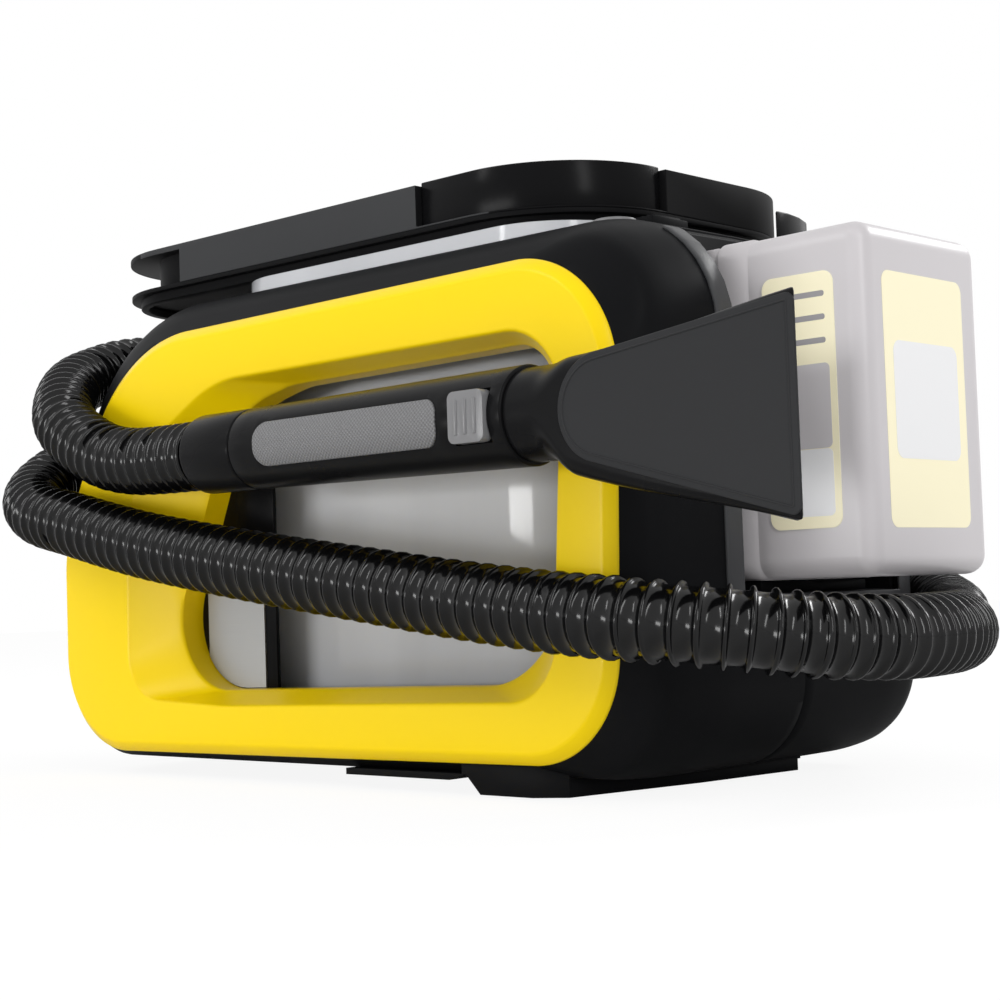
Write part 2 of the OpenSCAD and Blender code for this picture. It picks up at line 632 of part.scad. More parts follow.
face_y = ty - throat_r;
face_t = 0.9;
tip_low = tool_z - 8.2 - mouth_w / 2;
tip_high = tip_low + mouth_w;
module flare(x, z0, z1, y0, y1, t, r) for (z = [z0 + r, z1 - r]) translate([x, y0, z]) rotate([-90, 0, 0]) {
    cylinder(r = r, h = y1 - y0);
    translate([t, 0, 0]) cylinder(r = r, h = y1 - y0);
}
module nozzle_form(inset) hull($fn = 32) {
    along_x(neck_x - (inset > 0 ? 1 : 0), neck_x + 7, ty, tool_z, (inset > 0 ? channel_r : throat_r));
    flare(neck_x + 30, tool_z - 25 + inset, tool_z + 18 - inset, face_y + inset, ty + 15 - inset, 4, 6);
    flare(mouth_x - 22, tip_low + inset, tip_high - inset, face_y + inset, face_y + 13 - inset,
          inset > 0 ? 24 : 18, 2);
}
module nozzle_body() color("#1b1c1e") difference() {
    union() {
        nozzle_form(0);
        turned(neck_x, [[0, 0], [neck_r - 0.5, 0], [neck_r, 0.5], [throat_r, 18], [0, 18]]);
    }
    nozzle_form(2.5);
    translate([0, 0, tip_low - 5]) linear_extrude(mouth_w + 10) mouth_cut();
}
// The mouth is cut off aslant: its front lip reaches further than its back lip.
module mouth_cut() polygon([[mouth_x - 2, face_y], [mouth_x + 9, face_y], [mouth_x + 9, face_y + 20],
                            [mouth_x - 2 - mouth_slant, face_y + 20],
                            [mouth_x - 2 - mouth_slant, face_y + 13]]);
FACE = [[neck_x + 46.5, tool_z - 2, 19.4], [mouth_x - 5.6, tip_high - 5.2, 3.4],
        [mouth_x - 5.6, tip_low + 5.1, 3.4]];
module nozzle_face() color("#2c2e30") hull() wrap(FACE, 0, face_y - face_t, face_t);
module spray_jet() color("#0f1011") difference() {
    box(mouth_x - 20, mouth_x - 9.5, face_y + 2.55, face_y + 7, tool_z - 13, tool_z - 2);
    box(mouth_x - 24, mouth_x - 12, face_y + 4.4, face_y + 12, tool_z - 10, tool_z - 5);
}
clip_y = bezel_y;
module tool_clip() color("#1a1b1c") difference() {
    union() {
        box(neck_x - 24, neck_x - 3, ty + 9, clip_y, tool_z - 13, tool_z + 13);
        box(neck_x - 24, neck_x + 30, clip_y - 2.2, clip_y, tool_z - 13, tool_z + 13);
    }
    along_x(neck_x - 30, neck_x + 12, ty, tool_z, neck_r + touch);
}

// ---- hose ----------------------------------------------------------------------------------
// Route of the hose's middle line: tool cuff, round the upper left, along the back, round the
// right end, across the front, round the left end and into the port. Chosen by hand.
ROUTE = [[-34, -124.5, 145.5], [-50, -124.5, 145.5], [-70, -124.5, 145.7], [-88, -124.5, 146.5],
         [-108, -124.5, 150], [-130, -122.7, 158], [-152.5, -117.6, 169], [-174, -103.5, 182],
         [-192, -85.5, 193], [-205, -64, 201], [-211.5, -40, 208], [-213, -10, 212], [-213, 25, 213],
         [-209, 58, 210], [-196, 90, 205], [-170, 115, 198], [-132, 125.5, 191], [-92, 128, 184],
         [-50, 128, 175], [-8, 127, 162], [34, 125, 145], [74, 124.5, 124], [112, 124, 102], [146, 122, 84],
         [179, 112, 72], [204, 89, 66], [220, 62, 63], [236, 36, 61], [252, 10, 60], [263, -21, 60],
         [264, -54, 60], [252, -86, 62], [229, -109.5, 66], [198, -121.5, 69.5], [160, -122.5, 73],
         [110, -122.5, 79], [60, -122.5, 86], [10, -122.5, 93], [-40, -122.5, 100.5], [-90, -122.5, 109],
         [-140, -122.2, 120], [-175, -118.8, 127.5], [-199.5, -104.5, 138], [-213, -79, 151.5],
         [-219, -45, 166], [-219, -5, 174], [-215, 35, 174], [-209.5, 72, 168], [-195, 104, 157],
         [-166, 122.5, 145],
         [-134, 126, 138], [-115, 126, 138], [-100, 126, 138]];
function cr(p0, p1, p2, p3, t) = 0.5 * ((2 * p1) + (p2 - p0) * t + (2 * p0 - 5 * p1 + 4 * p2 - p3) * t * t
                                        + (3 * p1 - p0 - 3 * p2 + p3) * t * t * t);
function smooth(p, m) = [for (i = [0:len(p) - 2]) let (a = p[max(0, i - 1)], b = p[i], c = p[i + 1],
                         d = p[min(len(p) - 1, i + 2)]) for (k = [0:m - 1]) cr(a, b, c, d, k / m),
                         p[len(p) - 1]];
function run(p) = [for (i = 0, s = 0; i < len(p);
                   i = i + 1, s = s + (i < len(p) ? norm(p[i] - p[i - 1]) : 0)) s];
function even(p, n) = let (s = run(p), total = s[len(s) - 1],
    kx = [for (i = [0:len(p) - 1]) [s[i], p[i][0]]], ky = [for (i = [0:len(p) - 1]) [s[i], p[i][1]]],
    kz = [for (i = [0:len(p) - 1]) [s[i], p[i][2]]])
    [for (i = [0:n]) let (q = total * i / n) [lookup(q, kx), lookup(q, ky), lookup(q, kz)]];
function unit(v) = v / norm(v);
function tangents(p) = [for (i = [0:len(p) - 1]) unit(p[min(len(p) - 1, i + 1)] - p[max(0, i - 1)])];
function carried(u, t) = unit(u - t * (u * t));
// A first direction square to the start, carried along the line without twist.
function sides(t) = [for (i = 0, u = unit(cross(t[0], [0.31, 0.17, 0.93])); i < len(t);
                     i = i + 1, u = i < len(t) ? carried(u, t[i]) : u) u];
function rings(p, radii, n) = let (t = tangents(p), u = sides(t))
    [for (i = [0:len(p) - 1]) let (v = cross(t[i], u[i])) for (k = [0:n - 1])
     p[i] + radii[i] * (u[i] * cos(360 * k / n) + v * sin(360 * k / n))];
function skin(m, n, base, flip) = [for (i = [0:m - 2], k = [0:n - 1])
    let (a = base + i * n + k, b = base + i * n + (k + 1) % n, c = a + n, d = b + n)
    each (flip ? [[a, c, b], [b, c, d]] : [[a, b, c], [b, d, c]])];
module tube(p, radii, n) {
    m = len(p);
    last = (m - 1) * n;
    polyhedron(rings(p, radii, n), concat(skin(m, n, 0, false),
        [for (k = [1:n - 2]) [0, k + 1, k]], [for (k = [1:n - 2]) [last, last + k, last + k + 1]]));
}
hose_line = smooth(ROUTE, 6);
hose_length = run(hose_line)[len(hose_line) - 1];
bore_rings = 98;
module hose() color("#0e0e0f") {
    n = 8;
    m = 2 * rib_count + 1;
    p = even(hose_line, m - 1);
    q = even(hose_line, bore_rings - 1);
    outer = rings(p, [for (i = [0:m - 1]) hose_r - (i % 2 == 0 ? rib_depth : 0)], n);
    inner = rings(q, [for (a = q) hose_bore / 2], n);
    base = m * n;
    far = (m - 1) * n;
    far_in = base + (bore_rings - 1) * n;
    polyhedron(concat(outer, inner), concat(skin(m, n, 0, false), skin(bore_rings, n, base, true),
        [for (k = [0:n - 1]) let (j = (k + 1) % n) each [[k, base + j, j], [k, base + k, base + j]]],
        [for (k = [0:n - 1]) let (j = (k + 1) % n)
         each [[far + k, far + j, far_in + j], [far + k, far_in + j, far_in + k]]]));
}
hose_run = run(hose_line);
hose_gap = min([for (i = [0:3:len(hose_line) - 1], j = [i:3:len(hose_line) - 1])
                if (hose_run[j] - hose_run[i] > 3 * hose_d) norm(hose_line[i] - hose_line[j])]) - hose_d;
echo(hose_length = hose_length, hose_gap = hose_gap);

// ---- tank unit -----------------------------------------------------------------------------
module tank_plan(inset)
    round_rect(tank_left + inset, tank_right - inset, tank_front + inset, tank_back - inset, tank_r - inset);
module tank_shell() color("#aeb6bd") difference() {
    translate([0, 0, tank_z]) linear_extrude(lid_z - tank_z) tank_plan(0);
    translate([0, 0, tank_z + tank_wall]) linear_extrude(lid_z) difference() {
        tank_plan(tank_wall);
        translate([divider_x, tank_front]) square([tank_wall, tank_back - tank_front]);
    }
    along_y(port_x, tank_back - 10, tank_back + 10, port_z, channel_r - 2);
    pillar(water_x, water_y, tank_z - 1, tank_z + 6, dock_r + slide_gap);
}
module water_valve() color("#3a3c40") difference() {
    pillar(water_x, water_y, tank_z + tank_wall, tank_z + 18, dock_r + 4);
    pillar(water_x, water_y, tank_z + tank_wall - 1, tank_z + 14, dock_r + 1);
    for (a = [0:60:300]) translate([water_x, water_y, 0]) rotate([0, 0, a])
        box(dock_r - 1, dock_r + 6, -1.2, 1.2, tank_z + 5, tank_z + 13);
}
module ring_plan(inset)
    round_rect(ring_left + inset, ring_right - inset, ring_front + inset, ring_back - inset, ring_r - inset);
neck_cx = tank_left + 19;                      // filler neck
neck_cy = 0;
fill_r = 13;
flap_l = tank_left - 46;
flap_r = tank_left + 36;
flap_back = 16;
pin_y = flap_back + 8;
pin_z = ring_top + 2.4;
pin_r = 1.5;
lid_edge = 2;                                  // thickness of the lid at its rim
module tank_lid() color("#17181a") {
    difference() {
        union() {
            translate([0, 0, lid_z]) linear_extrude(lid_t - lid_edge + eps) ring_plan(5);
            translate([0, 0, ring_z - lid_edge]) linear_extrude(lid_edge) ring_plan(0.3);
        }
        pillar(neck_cx, neck_cy, lid_z - 1, ring_z + 1, fill_r - 2.5);
        pillar(water_x, water_y, lid_z - 1, ring_z + 1, plug_r + 0.3);
        translate([0, 0, lid_z - 1]) linear_extrude(lid_t - 1.5)
            round_rect(ring_left + 12, tank_left - 8, ring_front + 12, ring_back - 12,
                       min(ring_r - 20, (tank_left - ring_left - 24) / 2));
    }
    difference() {
        pillar(neck_cx, neck_cy, ring_z - eps, ring_top, fill_r);
        pillar(neck_cx, neck_cy, ring_z - 1, ring_top + 1, fill_r - 2.5);
    }
    for (x = [flap_l + 13, flap_r - 13]) difference() {
        box(x - 2.5, x + 2.5, pin_y - 2.6, pin_y + 2.6, ring_z - eps, pin_z + 2.4);
        along_x(x - 5, x + 5, pin_y, pin_z, pin_r);
    }
}
plug_r = 11;
module fill_plug() color("#3b3d40") {
    pillar(water_x, water_y, lid_z - 2, ring_z + 1, plug_r);
    pillar(water_x, water_y, ring_z + touch, ring_z + 3, plug_r + 3);
    difference() {
        pillar(water_x, water_y, ring_z + 3 - eps, ring_z + 9, plug_r - 1);
        for (side = [-1, 1]) box(water_x - 14, water_x + 14, water_y + side * 9 - 6, water_y + side * 9 + 6,
                                 ring_z + 3, ring_z + 10);
    }
}
module lid_seal() color("#0d0d0e") translate([0, 0, lid_z - 5]) linear_extrude(5) difference() {
    tank_plan(tank_wall + touch);
    tank_plan(tank_wall + 3.4);
    translate([divider_x - touch, tank_front]) square([tank_wall + 2 * touch, tank_back - tank_front]);
}
channel_deep = 24;
module tray_plan(grow)
    round_rect(ring_left + channel_deep + 33 - grow, ring_right - ring_band - 4 + grow,
               ring_front + ring_band - grow, ring_back - ring_band + grow, ring_r - ring_band + grow);
grip_t = 2.5;
grip_low = 1;                                  // height of the lip under the grip
grip_x = 34;                                   // left end of the grip
module corner_plan(grow) polygon([[grip_x - grow, ring_front - 20], [ring_right + 20, ring_front - 20],
                                  [ring_right + 20, 4 + grow], [60 - grow, 4 + grow], [grip_x - grow, -30]]);
module handle_ring() color("#2b2d2f") difference() {
    translate([0, 0, ring_z]) linear_extrude(ring_h) ring_plan(0);
    translate([0, 0, ring_z - 1]) linear_extrude(ring_h + 2) tray_plan(0);
    translate([0, 0, ring_z - 1]) linear_extrude(ring_h + 1 - ring_skin) difference() {
        ring_plan(ring_skin);
        tray_plan(ring_skin);
        translate([ring_left, ring_front]) square([ring_r + channel_deep, ring_back - ring_front]);
        intersection() {
            corner_plan(4);
            difference() {
                ring_plan(0);
                ring_plan(recess_d + grip_t + ring_skin);
            }
        }
    }
    translate([0, 0, ring_z - 1]) linear_extrude(ring_h + 1 - ring_skin) intersection() {
        difference() {
            ring_plan(-5);
            round_rect(ring_left + channel_deep, ring_right - 20, ring_front + 7, ring_back - 7, ring_r - 12);
        }
        translate([ring_left - 10, ring_front - 10]) square([ring_r + 31, ring_back - ring_front + 20]);
    }
    translate([0, 0, ring_z + grip_low]) linear_extrude(ring_h) intersection() {
        corner_plan(0);
        difference() {
            ring_plan(-5);
            ring_plan(recess_d + grip_t + 0.2);
        }
    }
}
module corner_grip() color("#08080a") {
    translate([0, 0, ring_z + grip_low + 0.05]) linear_extrude(ring_h - grip_low + 1.45) intersection() {
        corner_plan(-0.2);
        difference() {
            ring_plan(recess_d);
            ring_plan(recess_d + grip_t);
        }
    }
    translate([0, 0, ring_top + 0.05]) linear_extrude(1.45) intersection() {
        corner_plan(-0.2);
        difference() {
            ring_plan(recess_d);
            tray_plan(0.6);
        }
    }
}
pipe_x = port_x;
module standpipe() color("#9aa3ab") difference() {
    union() {
        along_y(pipe_x, 20, tank_back - tank_wall, port_z, channel_r + 1);
        pillar(pipe_x, 20, port_z - 1, 196, channel_r + 1);
    }
    along_y(pipe_x, 20, tank_back, port_z, channel_r - 1);
    pillar(pipe_x, 20, port_z, 200, channel_r - 1);
}
cage_x = 4;
cage_y = 14;
module float_cage() color("#3a3c40") difference() {
    pillar(cage_x, cage_y, lid_z - 62, lid_z - 0.05, 17);
    pillar(cage_x, cage_y, lid_z - 60, lid_z - 4, 15);
    for (a = [0:90:270]) translate([cage_x, cage_y, 0]) rotate([0, 0, a])
        box(8, 20, -5, 5, lid_z - 56, lid_z - 12);
    pillar(cage_x, cage_y, lid_z - 64, lid_z - 58, 9);
}
module float_ball() color("#d94b2b") {
    pillar(cage_x, cage_y, lid_z - 59.7, lid_z - 36, 14.5);
    pillar(cage_x, cage_y, lid_z - 36 - eps, lid_z - 33, 8);
}
module pour_flap() color("#c3c7ca") difference() {
    union() {
        translate([0, 0, ring_top + touch]) linear_extrude(3.6) difference() {
            round_rect(flap_l, flap_r, ring_front + 14, flap_back, 5);
            translate([flap_r - 14, ring_front + 14]) rotate(-45) square([40, 40], center = true);
        }
        box(flap_l + 17, flap_r - 17, flap_back - 2, pin_y, ring_top + touch, ring_top + touch + 3.6);
        along_x(flap_l + 17, flap_r - 17, pin_y, pin_z, 2.1);
    }
    along_x(flap_l, flap_r, pin_y, pin_z, pin_r + run_gap);
}
module cap_pin() color("#b9bdc2") along_x(flap_l + 10.5, flap_r - 10.5, pin_y, pin_z, pin_r);

// ---- battery -------------------------------------------------------------------------------
batt_front = bay_y - batt_w / 2;
batt_back = bay_y + batt_w / 2;
batt_in = batt_out - batt_d;
base_t = 8;
batt_r = 9;
module battery_case() color("#c9c6c8") difference() {
    hull($fn = 32) {
        for (y = [batt_front + batt_r, batt_back - batt_r], z = [batt_z + 6, batt_z + batt_l - 6])
            translate([0, y, z]) {
                translate([batt_in + base_t, 0, 0]) rotate([0, 90, 0])
                    cylinder(r = 6, h = batt_d - base_t - batt_r);
                translate([batt_out - batt_r, 0, 0]) sphere(r = 6);
            }
        for (y = [batt_front + batt_r, batt_back - batt_r]) {
            translate([batt_out - batt_r, y, batt_z + 9]) cylinder(r = batt_r, h = batt_l - 18);
            translate([batt_in + base_t, y - batt_r, batt_z + 9]) cube([1, 2 * batt_r, batt_l - 18]);
        }
    }
    box(batt_in, batt_out - 12, batt_front + 4, batt_back - 4, batt_z + 5, batt_z + batt_l - 5);
}
module battery_base() color("#b4b1b3") difference() {
    box(batt_in, batt_in + base_t, batt_front + 1.5, batt_back - 1.5, batt_z + 2, batt_z + batt_l - 2);
    box(batt_in - 1, batt_in + 3, bay_y - 22, bay_y + 22, batt_z - 1, batt_z + 74);
}
cell_rows = 5;
cell_r = 9;
cell_end = 9;                                  // from the pack's end to its first and last cell
cell_step = (batt_l - 2 * (cell_end + cell_r) - 4) / (cell_rows - 1);
module battery_cells() color("#3f7fb5") for (k = [0:cell_rows - 1], j = [0, 1])
    along_y(batt_in + base_t + 12 + j * 22, batt_front + 8, batt_back - 8,
            batt_z + cell_end + cell_r + k * cell_step, cell_r);

front_shell();
rear_shell();
window_bezel();
info_panel();
metal_plate();
right_skid();
rear_rail();
rubber_strip();
tank_cradle();
battery_bay();
battery_rails();
bay_rim();
terminal_block();
circuit_board();
motor_bracket();
turbine_housing();
motor_can();
motor_bearings();
motor_shaft();
impeller();
pump_body();
pump_plunger();
pump_spring();
inlet_duct();
docking_seal();
water_pipe();
water_dock();
hose_port();
exhaust_grille();
power_button();
tank_latch();
battery_release();
housing_screws();
tool_clip();
hose_cuff();
tool_handle();
grip_insert();
spray_button();
spray_valve();
nozzle_body();
nozzle_face();
spray_jet();
hose();
tank_shell();
tank_lid();
lid_seal();
handle_ring();
corner_grip();
standpipe();
float_cage();
float_ball();
pour_flap();
cap_pin();
fill_plug();
water_valve();
battery_case();
battery_base();
battery_cells();
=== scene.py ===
"""Looks of a cordless spot extractor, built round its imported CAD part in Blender 4.5."""

from __future__ import annotations

import json
import logging
import math
from dataclasses import dataclass
from enum import Enum
from typing import Sequence

import bmesh
import bpy
from mathutils import Matrix, Vector

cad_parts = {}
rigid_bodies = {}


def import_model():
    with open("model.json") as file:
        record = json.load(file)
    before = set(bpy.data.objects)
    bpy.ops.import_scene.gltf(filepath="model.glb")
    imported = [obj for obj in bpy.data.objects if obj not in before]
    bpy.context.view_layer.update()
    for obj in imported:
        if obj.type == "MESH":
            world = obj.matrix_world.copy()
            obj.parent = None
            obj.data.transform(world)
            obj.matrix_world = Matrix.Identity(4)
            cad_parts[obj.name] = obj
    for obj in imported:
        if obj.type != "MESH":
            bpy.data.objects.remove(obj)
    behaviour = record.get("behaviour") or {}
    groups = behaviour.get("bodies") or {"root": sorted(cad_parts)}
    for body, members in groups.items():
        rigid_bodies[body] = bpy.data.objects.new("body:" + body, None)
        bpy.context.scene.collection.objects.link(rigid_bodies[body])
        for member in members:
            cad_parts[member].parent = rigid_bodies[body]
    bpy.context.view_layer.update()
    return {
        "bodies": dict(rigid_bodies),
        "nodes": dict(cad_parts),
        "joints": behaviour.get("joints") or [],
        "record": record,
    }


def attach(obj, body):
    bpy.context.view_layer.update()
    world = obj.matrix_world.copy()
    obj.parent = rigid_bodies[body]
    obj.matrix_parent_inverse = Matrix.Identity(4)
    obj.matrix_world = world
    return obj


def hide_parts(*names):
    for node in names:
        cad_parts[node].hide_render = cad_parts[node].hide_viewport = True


LOG = logging.getLogger("extractor")
MM = 0.001
Point = tuple[float, float, float]
Disc = tuple[float, float, float]


# ---- shader maths ----
class Wire:
    """A shader socket that can be used in a Python expression."""

    def __init__(self, graph: "Graph", socket: bpy.types.NodeSocket) -> None:
        """Wraps a socket of a graph.

        Args:
            graph: the graph that the socket belongs to.
            socket: the output socket.
        """
        self.graph = graph
        self.socket = socket

    def _math(self, operation: str, *values: "Wire | float") -> "Wire":
        """Adds one Math node.

        Args:
            operation: the Math node's operation.
            values: its inputs, in order.

        Returns:
            The node's output.
        """
        return self.graph.add("ShaderNodeMath", {"operation": operation}, dict(enumerate(values)))

    def __add__(self, other: "Wire | float") -> "Wire":
        """self + other."""
        return self._math("ADD", self, other)

    def __radd__(self, other: float) -> "Wire":
        """other + self."""
        return self._math("ADD", other, self)

    def __sub__(self, other: "Wire | float") -> "Wire":
        """self - other."""
        return self._math("SUBTRACT", self, other)

    def __mul__(self, other: "Wire | float") -> "Wire":
        """self * other."""
        return self._math("MULTIPLY", self, other)

    def sine(self) -> "Wire":
        """Sine of self, in radians."""
        return self._math("SINE", self)


class Graph:
    """The node tree of one material."""

    def __init__(self, name: str) -> None:
        """Makes an empty material.

        Args:
            name: the material's name.
        """
        self.material = bpy.data.materials.new(name)
        self.material.use_nodes = True
        self.tree = self.material.node_tree
        self.tree.nodes.clear()

    def node(self, kind: str, settings: dict | None = None, inputs: dict | None = None) -> bpy.types.Node:
        """Adds a node.

        Args:
            kind: the node's type.
            settings: properties, set before the inputs.
            inputs: values or wires, by socket name or number.

        Returns:
            The node.
        """
        made = self.tree.nodes.new(kind)
        for key, value in (settings or {}).items():
            setattr(made, key, value)
        for key, value in (inputs or {}).items():
            if isinstance(value, Wire):
                self.tree.links.new(value.socket, made.inputs[key])
            else:
                made.inputs[key].default_value = value
        return made

    def add(self, kind: str, settings: dict | None = None, inputs: dict | None = None,
            out: int | str = 0) -> Wire:
        """Adds a node and gives one of its outputs.

        Args:
            kind: the node's type.
            settings: properties, set before the inputs.
            inputs: values or wires, by socket name or number.
            out: the output's number or name.

        Returns:
            The output as a wire.
        """
        return Wire(self, self.node(kind, settings, inputs).outputs[out])

    def place(self) -> Wire:
        """Object coordinates."""
        return self.add("ShaderNodeTexCoord", out="Object")

    def axis(self, letter: str) -> Wire:
        """One of the object coordinates, in metres."""
        return self.add("ShaderNodeSeparateXYZ", None, {0: self.place()}, "XYZ".index(letter.upper()))

    def scaled(self, factors: Point) -> Wire:
        """Object coordinates times a factor on each axis."""
        return self.add("ShaderNodeMapping", None, {"Vector": self.place(), "Scale": factors})

    def noise(self, scale: float, detail: float = 2.0, vector: Wire | None = None) -> Wire:
        """Noise from 0 to 1.

        Args:
            scale: how many features there are to a metre.
            detail: octaves.
            vector: where it is read; object coordinates unless given.

        Returns:
            The noise.
        """
        return self.add("ShaderNodeTexNoise", None,
                        {"Vector": vector or self.place(), "Scale": scale, "Detail": detail})

    def mix(self, factor: Wire | float, a: Sequence[float] | Wire, b: Sequence[float] | Wire) -> Wire:
        """A colour between a and b."""
        made = self.node("ShaderNodeMix", {"data_type": "RGBA"})
        for socket, value in ((0, factor), (6, a), (7, b)):
            if isinstance(value, Wire):
                self.tree.links.new(value.socket, made.inputs[socket])
            else:
                made.inputs[socket].default_value = value if socket == 0 else (*value[:3], 1.0)
        return Wire(self, made.outputs[2])

    def bump(self, height: Wire, distance: float, strength: float = 1.0) -> Wire:
        """A normal from a height.

        Args:
            height: the height field.
            distance: metres to a height of 1.
            strength: how much of it shows.

        Returns:
            The normal.
        """
        return self.add("ShaderNodeBump", None,
                        {"Height": height, "Distance": distance, "Strength": strength})

    def close(self, **inputs: object) -> bpy.types.Material:
        """Adds the surface shader and the output.

        Args:
            inputs: values or wires of the shader, with _ for a space in the socket's name.

        Returns:
            The finished material.
        """
        named = {key.replace("_", " "): value for key, value in inputs.items()}
        for key, value in named.items():
            if "Color" in key and isinstance(value, tuple) and len(value) == 3:
                named[key] = (*value, 1.0)
        shader = self.add("ShaderNodeBsdfPrincipled", None, named)
        self.node("ShaderNodeOutputMaterial", None, {"Surface": shader})
        return self.material


# ---- finishes ----
@dataclass(frozen=True)
class Moulded:
    """Moulded plastic: a fine grain, a little uneven gloss and faint rubbing."""

    name: str
    colour: tuple[float, float, float]
    rough: float = 0.4
    grain: float = 0.00004
    grain_scale: float = 2600.0
    coat: float = 0.0
    vary: float = 0.08
    spec: float = 0.4

    def make(self) -> bpy.types.Material:
        """Builds the material."""
        g = Graph(self.name)
        cloud = g.noise(14.0, 3.0)
        fine = g.noise(self.grain_scale, 2.0)
        lighter = tuple(min(1.0, c * (1 + self.vary) + 0.0015) for c in self.colour)
        colour = g.mix(cloud, self.colour, lighter)
        rough = self.rough - 0.05 + cloud * 0.1
        return g.close(Base_Color=colour, Roughness=rough, Coat_Weight=self.coat, Coat_Roughness=0.12,
                       Specular_IOR_Level=self.spec, Normal=g.bump(fine, self.grain))


@dataclass(frozen=True)
class Clear:
    """Smoke-tinted clear plastic that shows what is behind it, with painted reflection streaks in its
    colour.
    """

    name: str
    colour: tuple[float, float, float]
    alpha: float = 0.35
    rough: float = 0.08

    def make(self) -> bpy.types.Material:
        """Builds the material."""
        g = Graph(self.name)
        # painted reflection: lighter upright streaks in the colour of the clear plastic
        reflection_streak = g.noise(5.0, 2.0, g.scaled((6.0, 6.0, 0.6)))
        colour = g.mix(reflection_streak, self.colour, tuple(min(1.0, c * 1.25) for c in self.colour))
        return g.close(Base_Color=colour, Roughness=self.rough, Alpha=self.alpha)


@dataclass(frozen=True)
class Metal:
    """Brushed or turned metal."""

    name: str
    colour: tuple[float, float, float]
    rough: float = 0.3
    brushed: Point = (3000.0, 3000.0, 30.0)

    def make(self) -> bpy.types.Material:
        """Builds the material."""
        g = Graph(self.name)
        lines = g.noise(1.0, 3.0, g.scaled(self.brushed))
        colour = g.mix(lines, tuple(c * 0.86 for c in self.colour), self.colour)
        return g.close(Base_Color=colour, Metallic=1.0, Roughness=self.rough - 0.06 + lines * 0.12,
                       Normal=g.bump(lines, 0.00002))


@dataclass(frozen=True)
class Knurled:
    """Moulded plastic with a fine diamond knurl on a face that looks along Y, with painted shade in the
    knurl's hollows.
    """

    name: str
    colour: tuple[float, float, float]
    rough: float = 0.42
    pitch: float = 0.0019

    def make(self) -> bpy.types.Material:
        """Builds the material."""
        g = Graph(self.name)
        along, up = g.axis("x"), g.axis("z")
        turns = 2 * math.pi / self.pitch
        wave = (((along + up * 1.1) * turns).sine() + ((along - up * 1.1) * turns).sine()) * 0.25 + 0.5
        # painted shade: the colour is darker where the knurl's height is low, in its hollows
        colour = g.mix(wave, tuple(c * 0.55 for c in self.colour), self.colour)
        return g.close(Base_Color=colour, Roughness=self.rough, Normal=g.bump(wave, 0.0003))


BLACK_SHELL = Moulded("black_shell", (0.007, 0.0072, 0.008), 0.45, 0.00001, spec=0.025)
LID_BLACK = Moulded("lid_black", (0.005, 0.005, 0.0055), 0.5, 0.00001, spec=0.04)
YELLOW = Moulded("yellow_shell", (1.0, 0.71, 0.0), 0.34, 0.00001, vary=0.0, spec=0.2)
GLOSS_BLACK = Moulded("gloss_black", (0.004, 0.004, 0.0045), 0.24, 0.00001, spec=0.06)
DARK = Moulded("dark_plastic", (0.011, 0.0113, 0.012), 0.4, spec=0.06)
STRIP_GREY = Moulded("strip_grey", (0.042, 0.043, 0.045), 0.42, 0.00002, spec=0.06)
RIM_GREY = Moulded("rim_grey", (0.06, 0.061, 0.064), 0.36, 0.00002, spec=0.1)
MID_GREY = Moulded("mid_grey", (0.2, 0.2, 0.205), 0.4)
LIGHT_GREY = Moulded("light_grey", (0.55, 0.56, 0.58), 0.3)
HOSE_BLACK = Moulded("hose_black", (0.0025, 0.0025, 0.0028), 0.14, 0.000002, vary=0.0, spec=0.3)
RUBBER = Moulded("rubber", (0.015, 0.015, 0.016), 0.75, 0.00008)
CASE_GREY = Moulded("case_grey", (0.6, 0.575, 0.59), 0.33, 0.00002, vary=0.02)
CREAM = Moulded("cream_panel", (1.0, 0.93, 0.66), 0.35, 0.00002, vary=0.0)
BOARD = Moulded("board", (0.02, 0.12, 0.05), 0.4)
CELL_BLUE = Moulded("cell_wrap", (0.05, 0.2, 0.42), 0.25)
FLOAT_RED = Moulded("float_red", (0.6, 0.06, 0.03), 0.4)
STEEL = Metal("steel", (0.6, 0.61, 0.63))
ALLOY = Metal("alloy", (0.5, 0.51, 0.53))
PLATE = Metal("brushed_plate", (0.42, 0.425, 0.43), 0.55, (30.0, 3000.0, 3000.0))
TANK_CLEAR = Clear("tank_clear", (0.6, 0.61, 0.635), 0.8, 0.12)
TANK_RIB = Clear("tank_rib", (0.8, 0.81, 0.83), 0.85, 0.12)
KNURL = Knurled("grip_knurl", (0.19, 0.19, 0.195))
TOOL_BLACK = Moulded("tool_black", (0.0055, 0.0055, 0.006), 0.28, 0.00001, spec=0.06)
FACE_GREY = Moulded("face_grey", (0.028, 0.0285, 0.03), 0.46, 0.00002, spec=0.05)
BUTTON_GREY = Moulded("button_grey", (0.18, 0.18, 0.185), 0.25)
PANEL_WHITE = Moulded("panel_white", (0.86, 0.86, 0.87), 0.4, 0.00002, vary=0.0)
SLOT_GREY = Moulded("slot_grey", (0.3, 0.29, 0.3), 0.45)

NODE_FINISH = {
    "black_shell": BLACK_SHELL, "yellow": YELLOW, "black_gloss": GLOSS_BLACK, "dark_grey": DARK,
    "mid_grey": MID_GREY, "brushed_plate": PLATE, "rubber": RUBBER, "clear_grey": TANK_CLEAR,
    "light_grey": LIGHT_GREY, "board": BOARD, "steel": STEEL, "alloy": ALLOY, "hose_black": HOSE_BLACK,
    "battery_grey": CASE_GREY, "cell": CELL_BLUE, "red": FLOAT_RED,
}


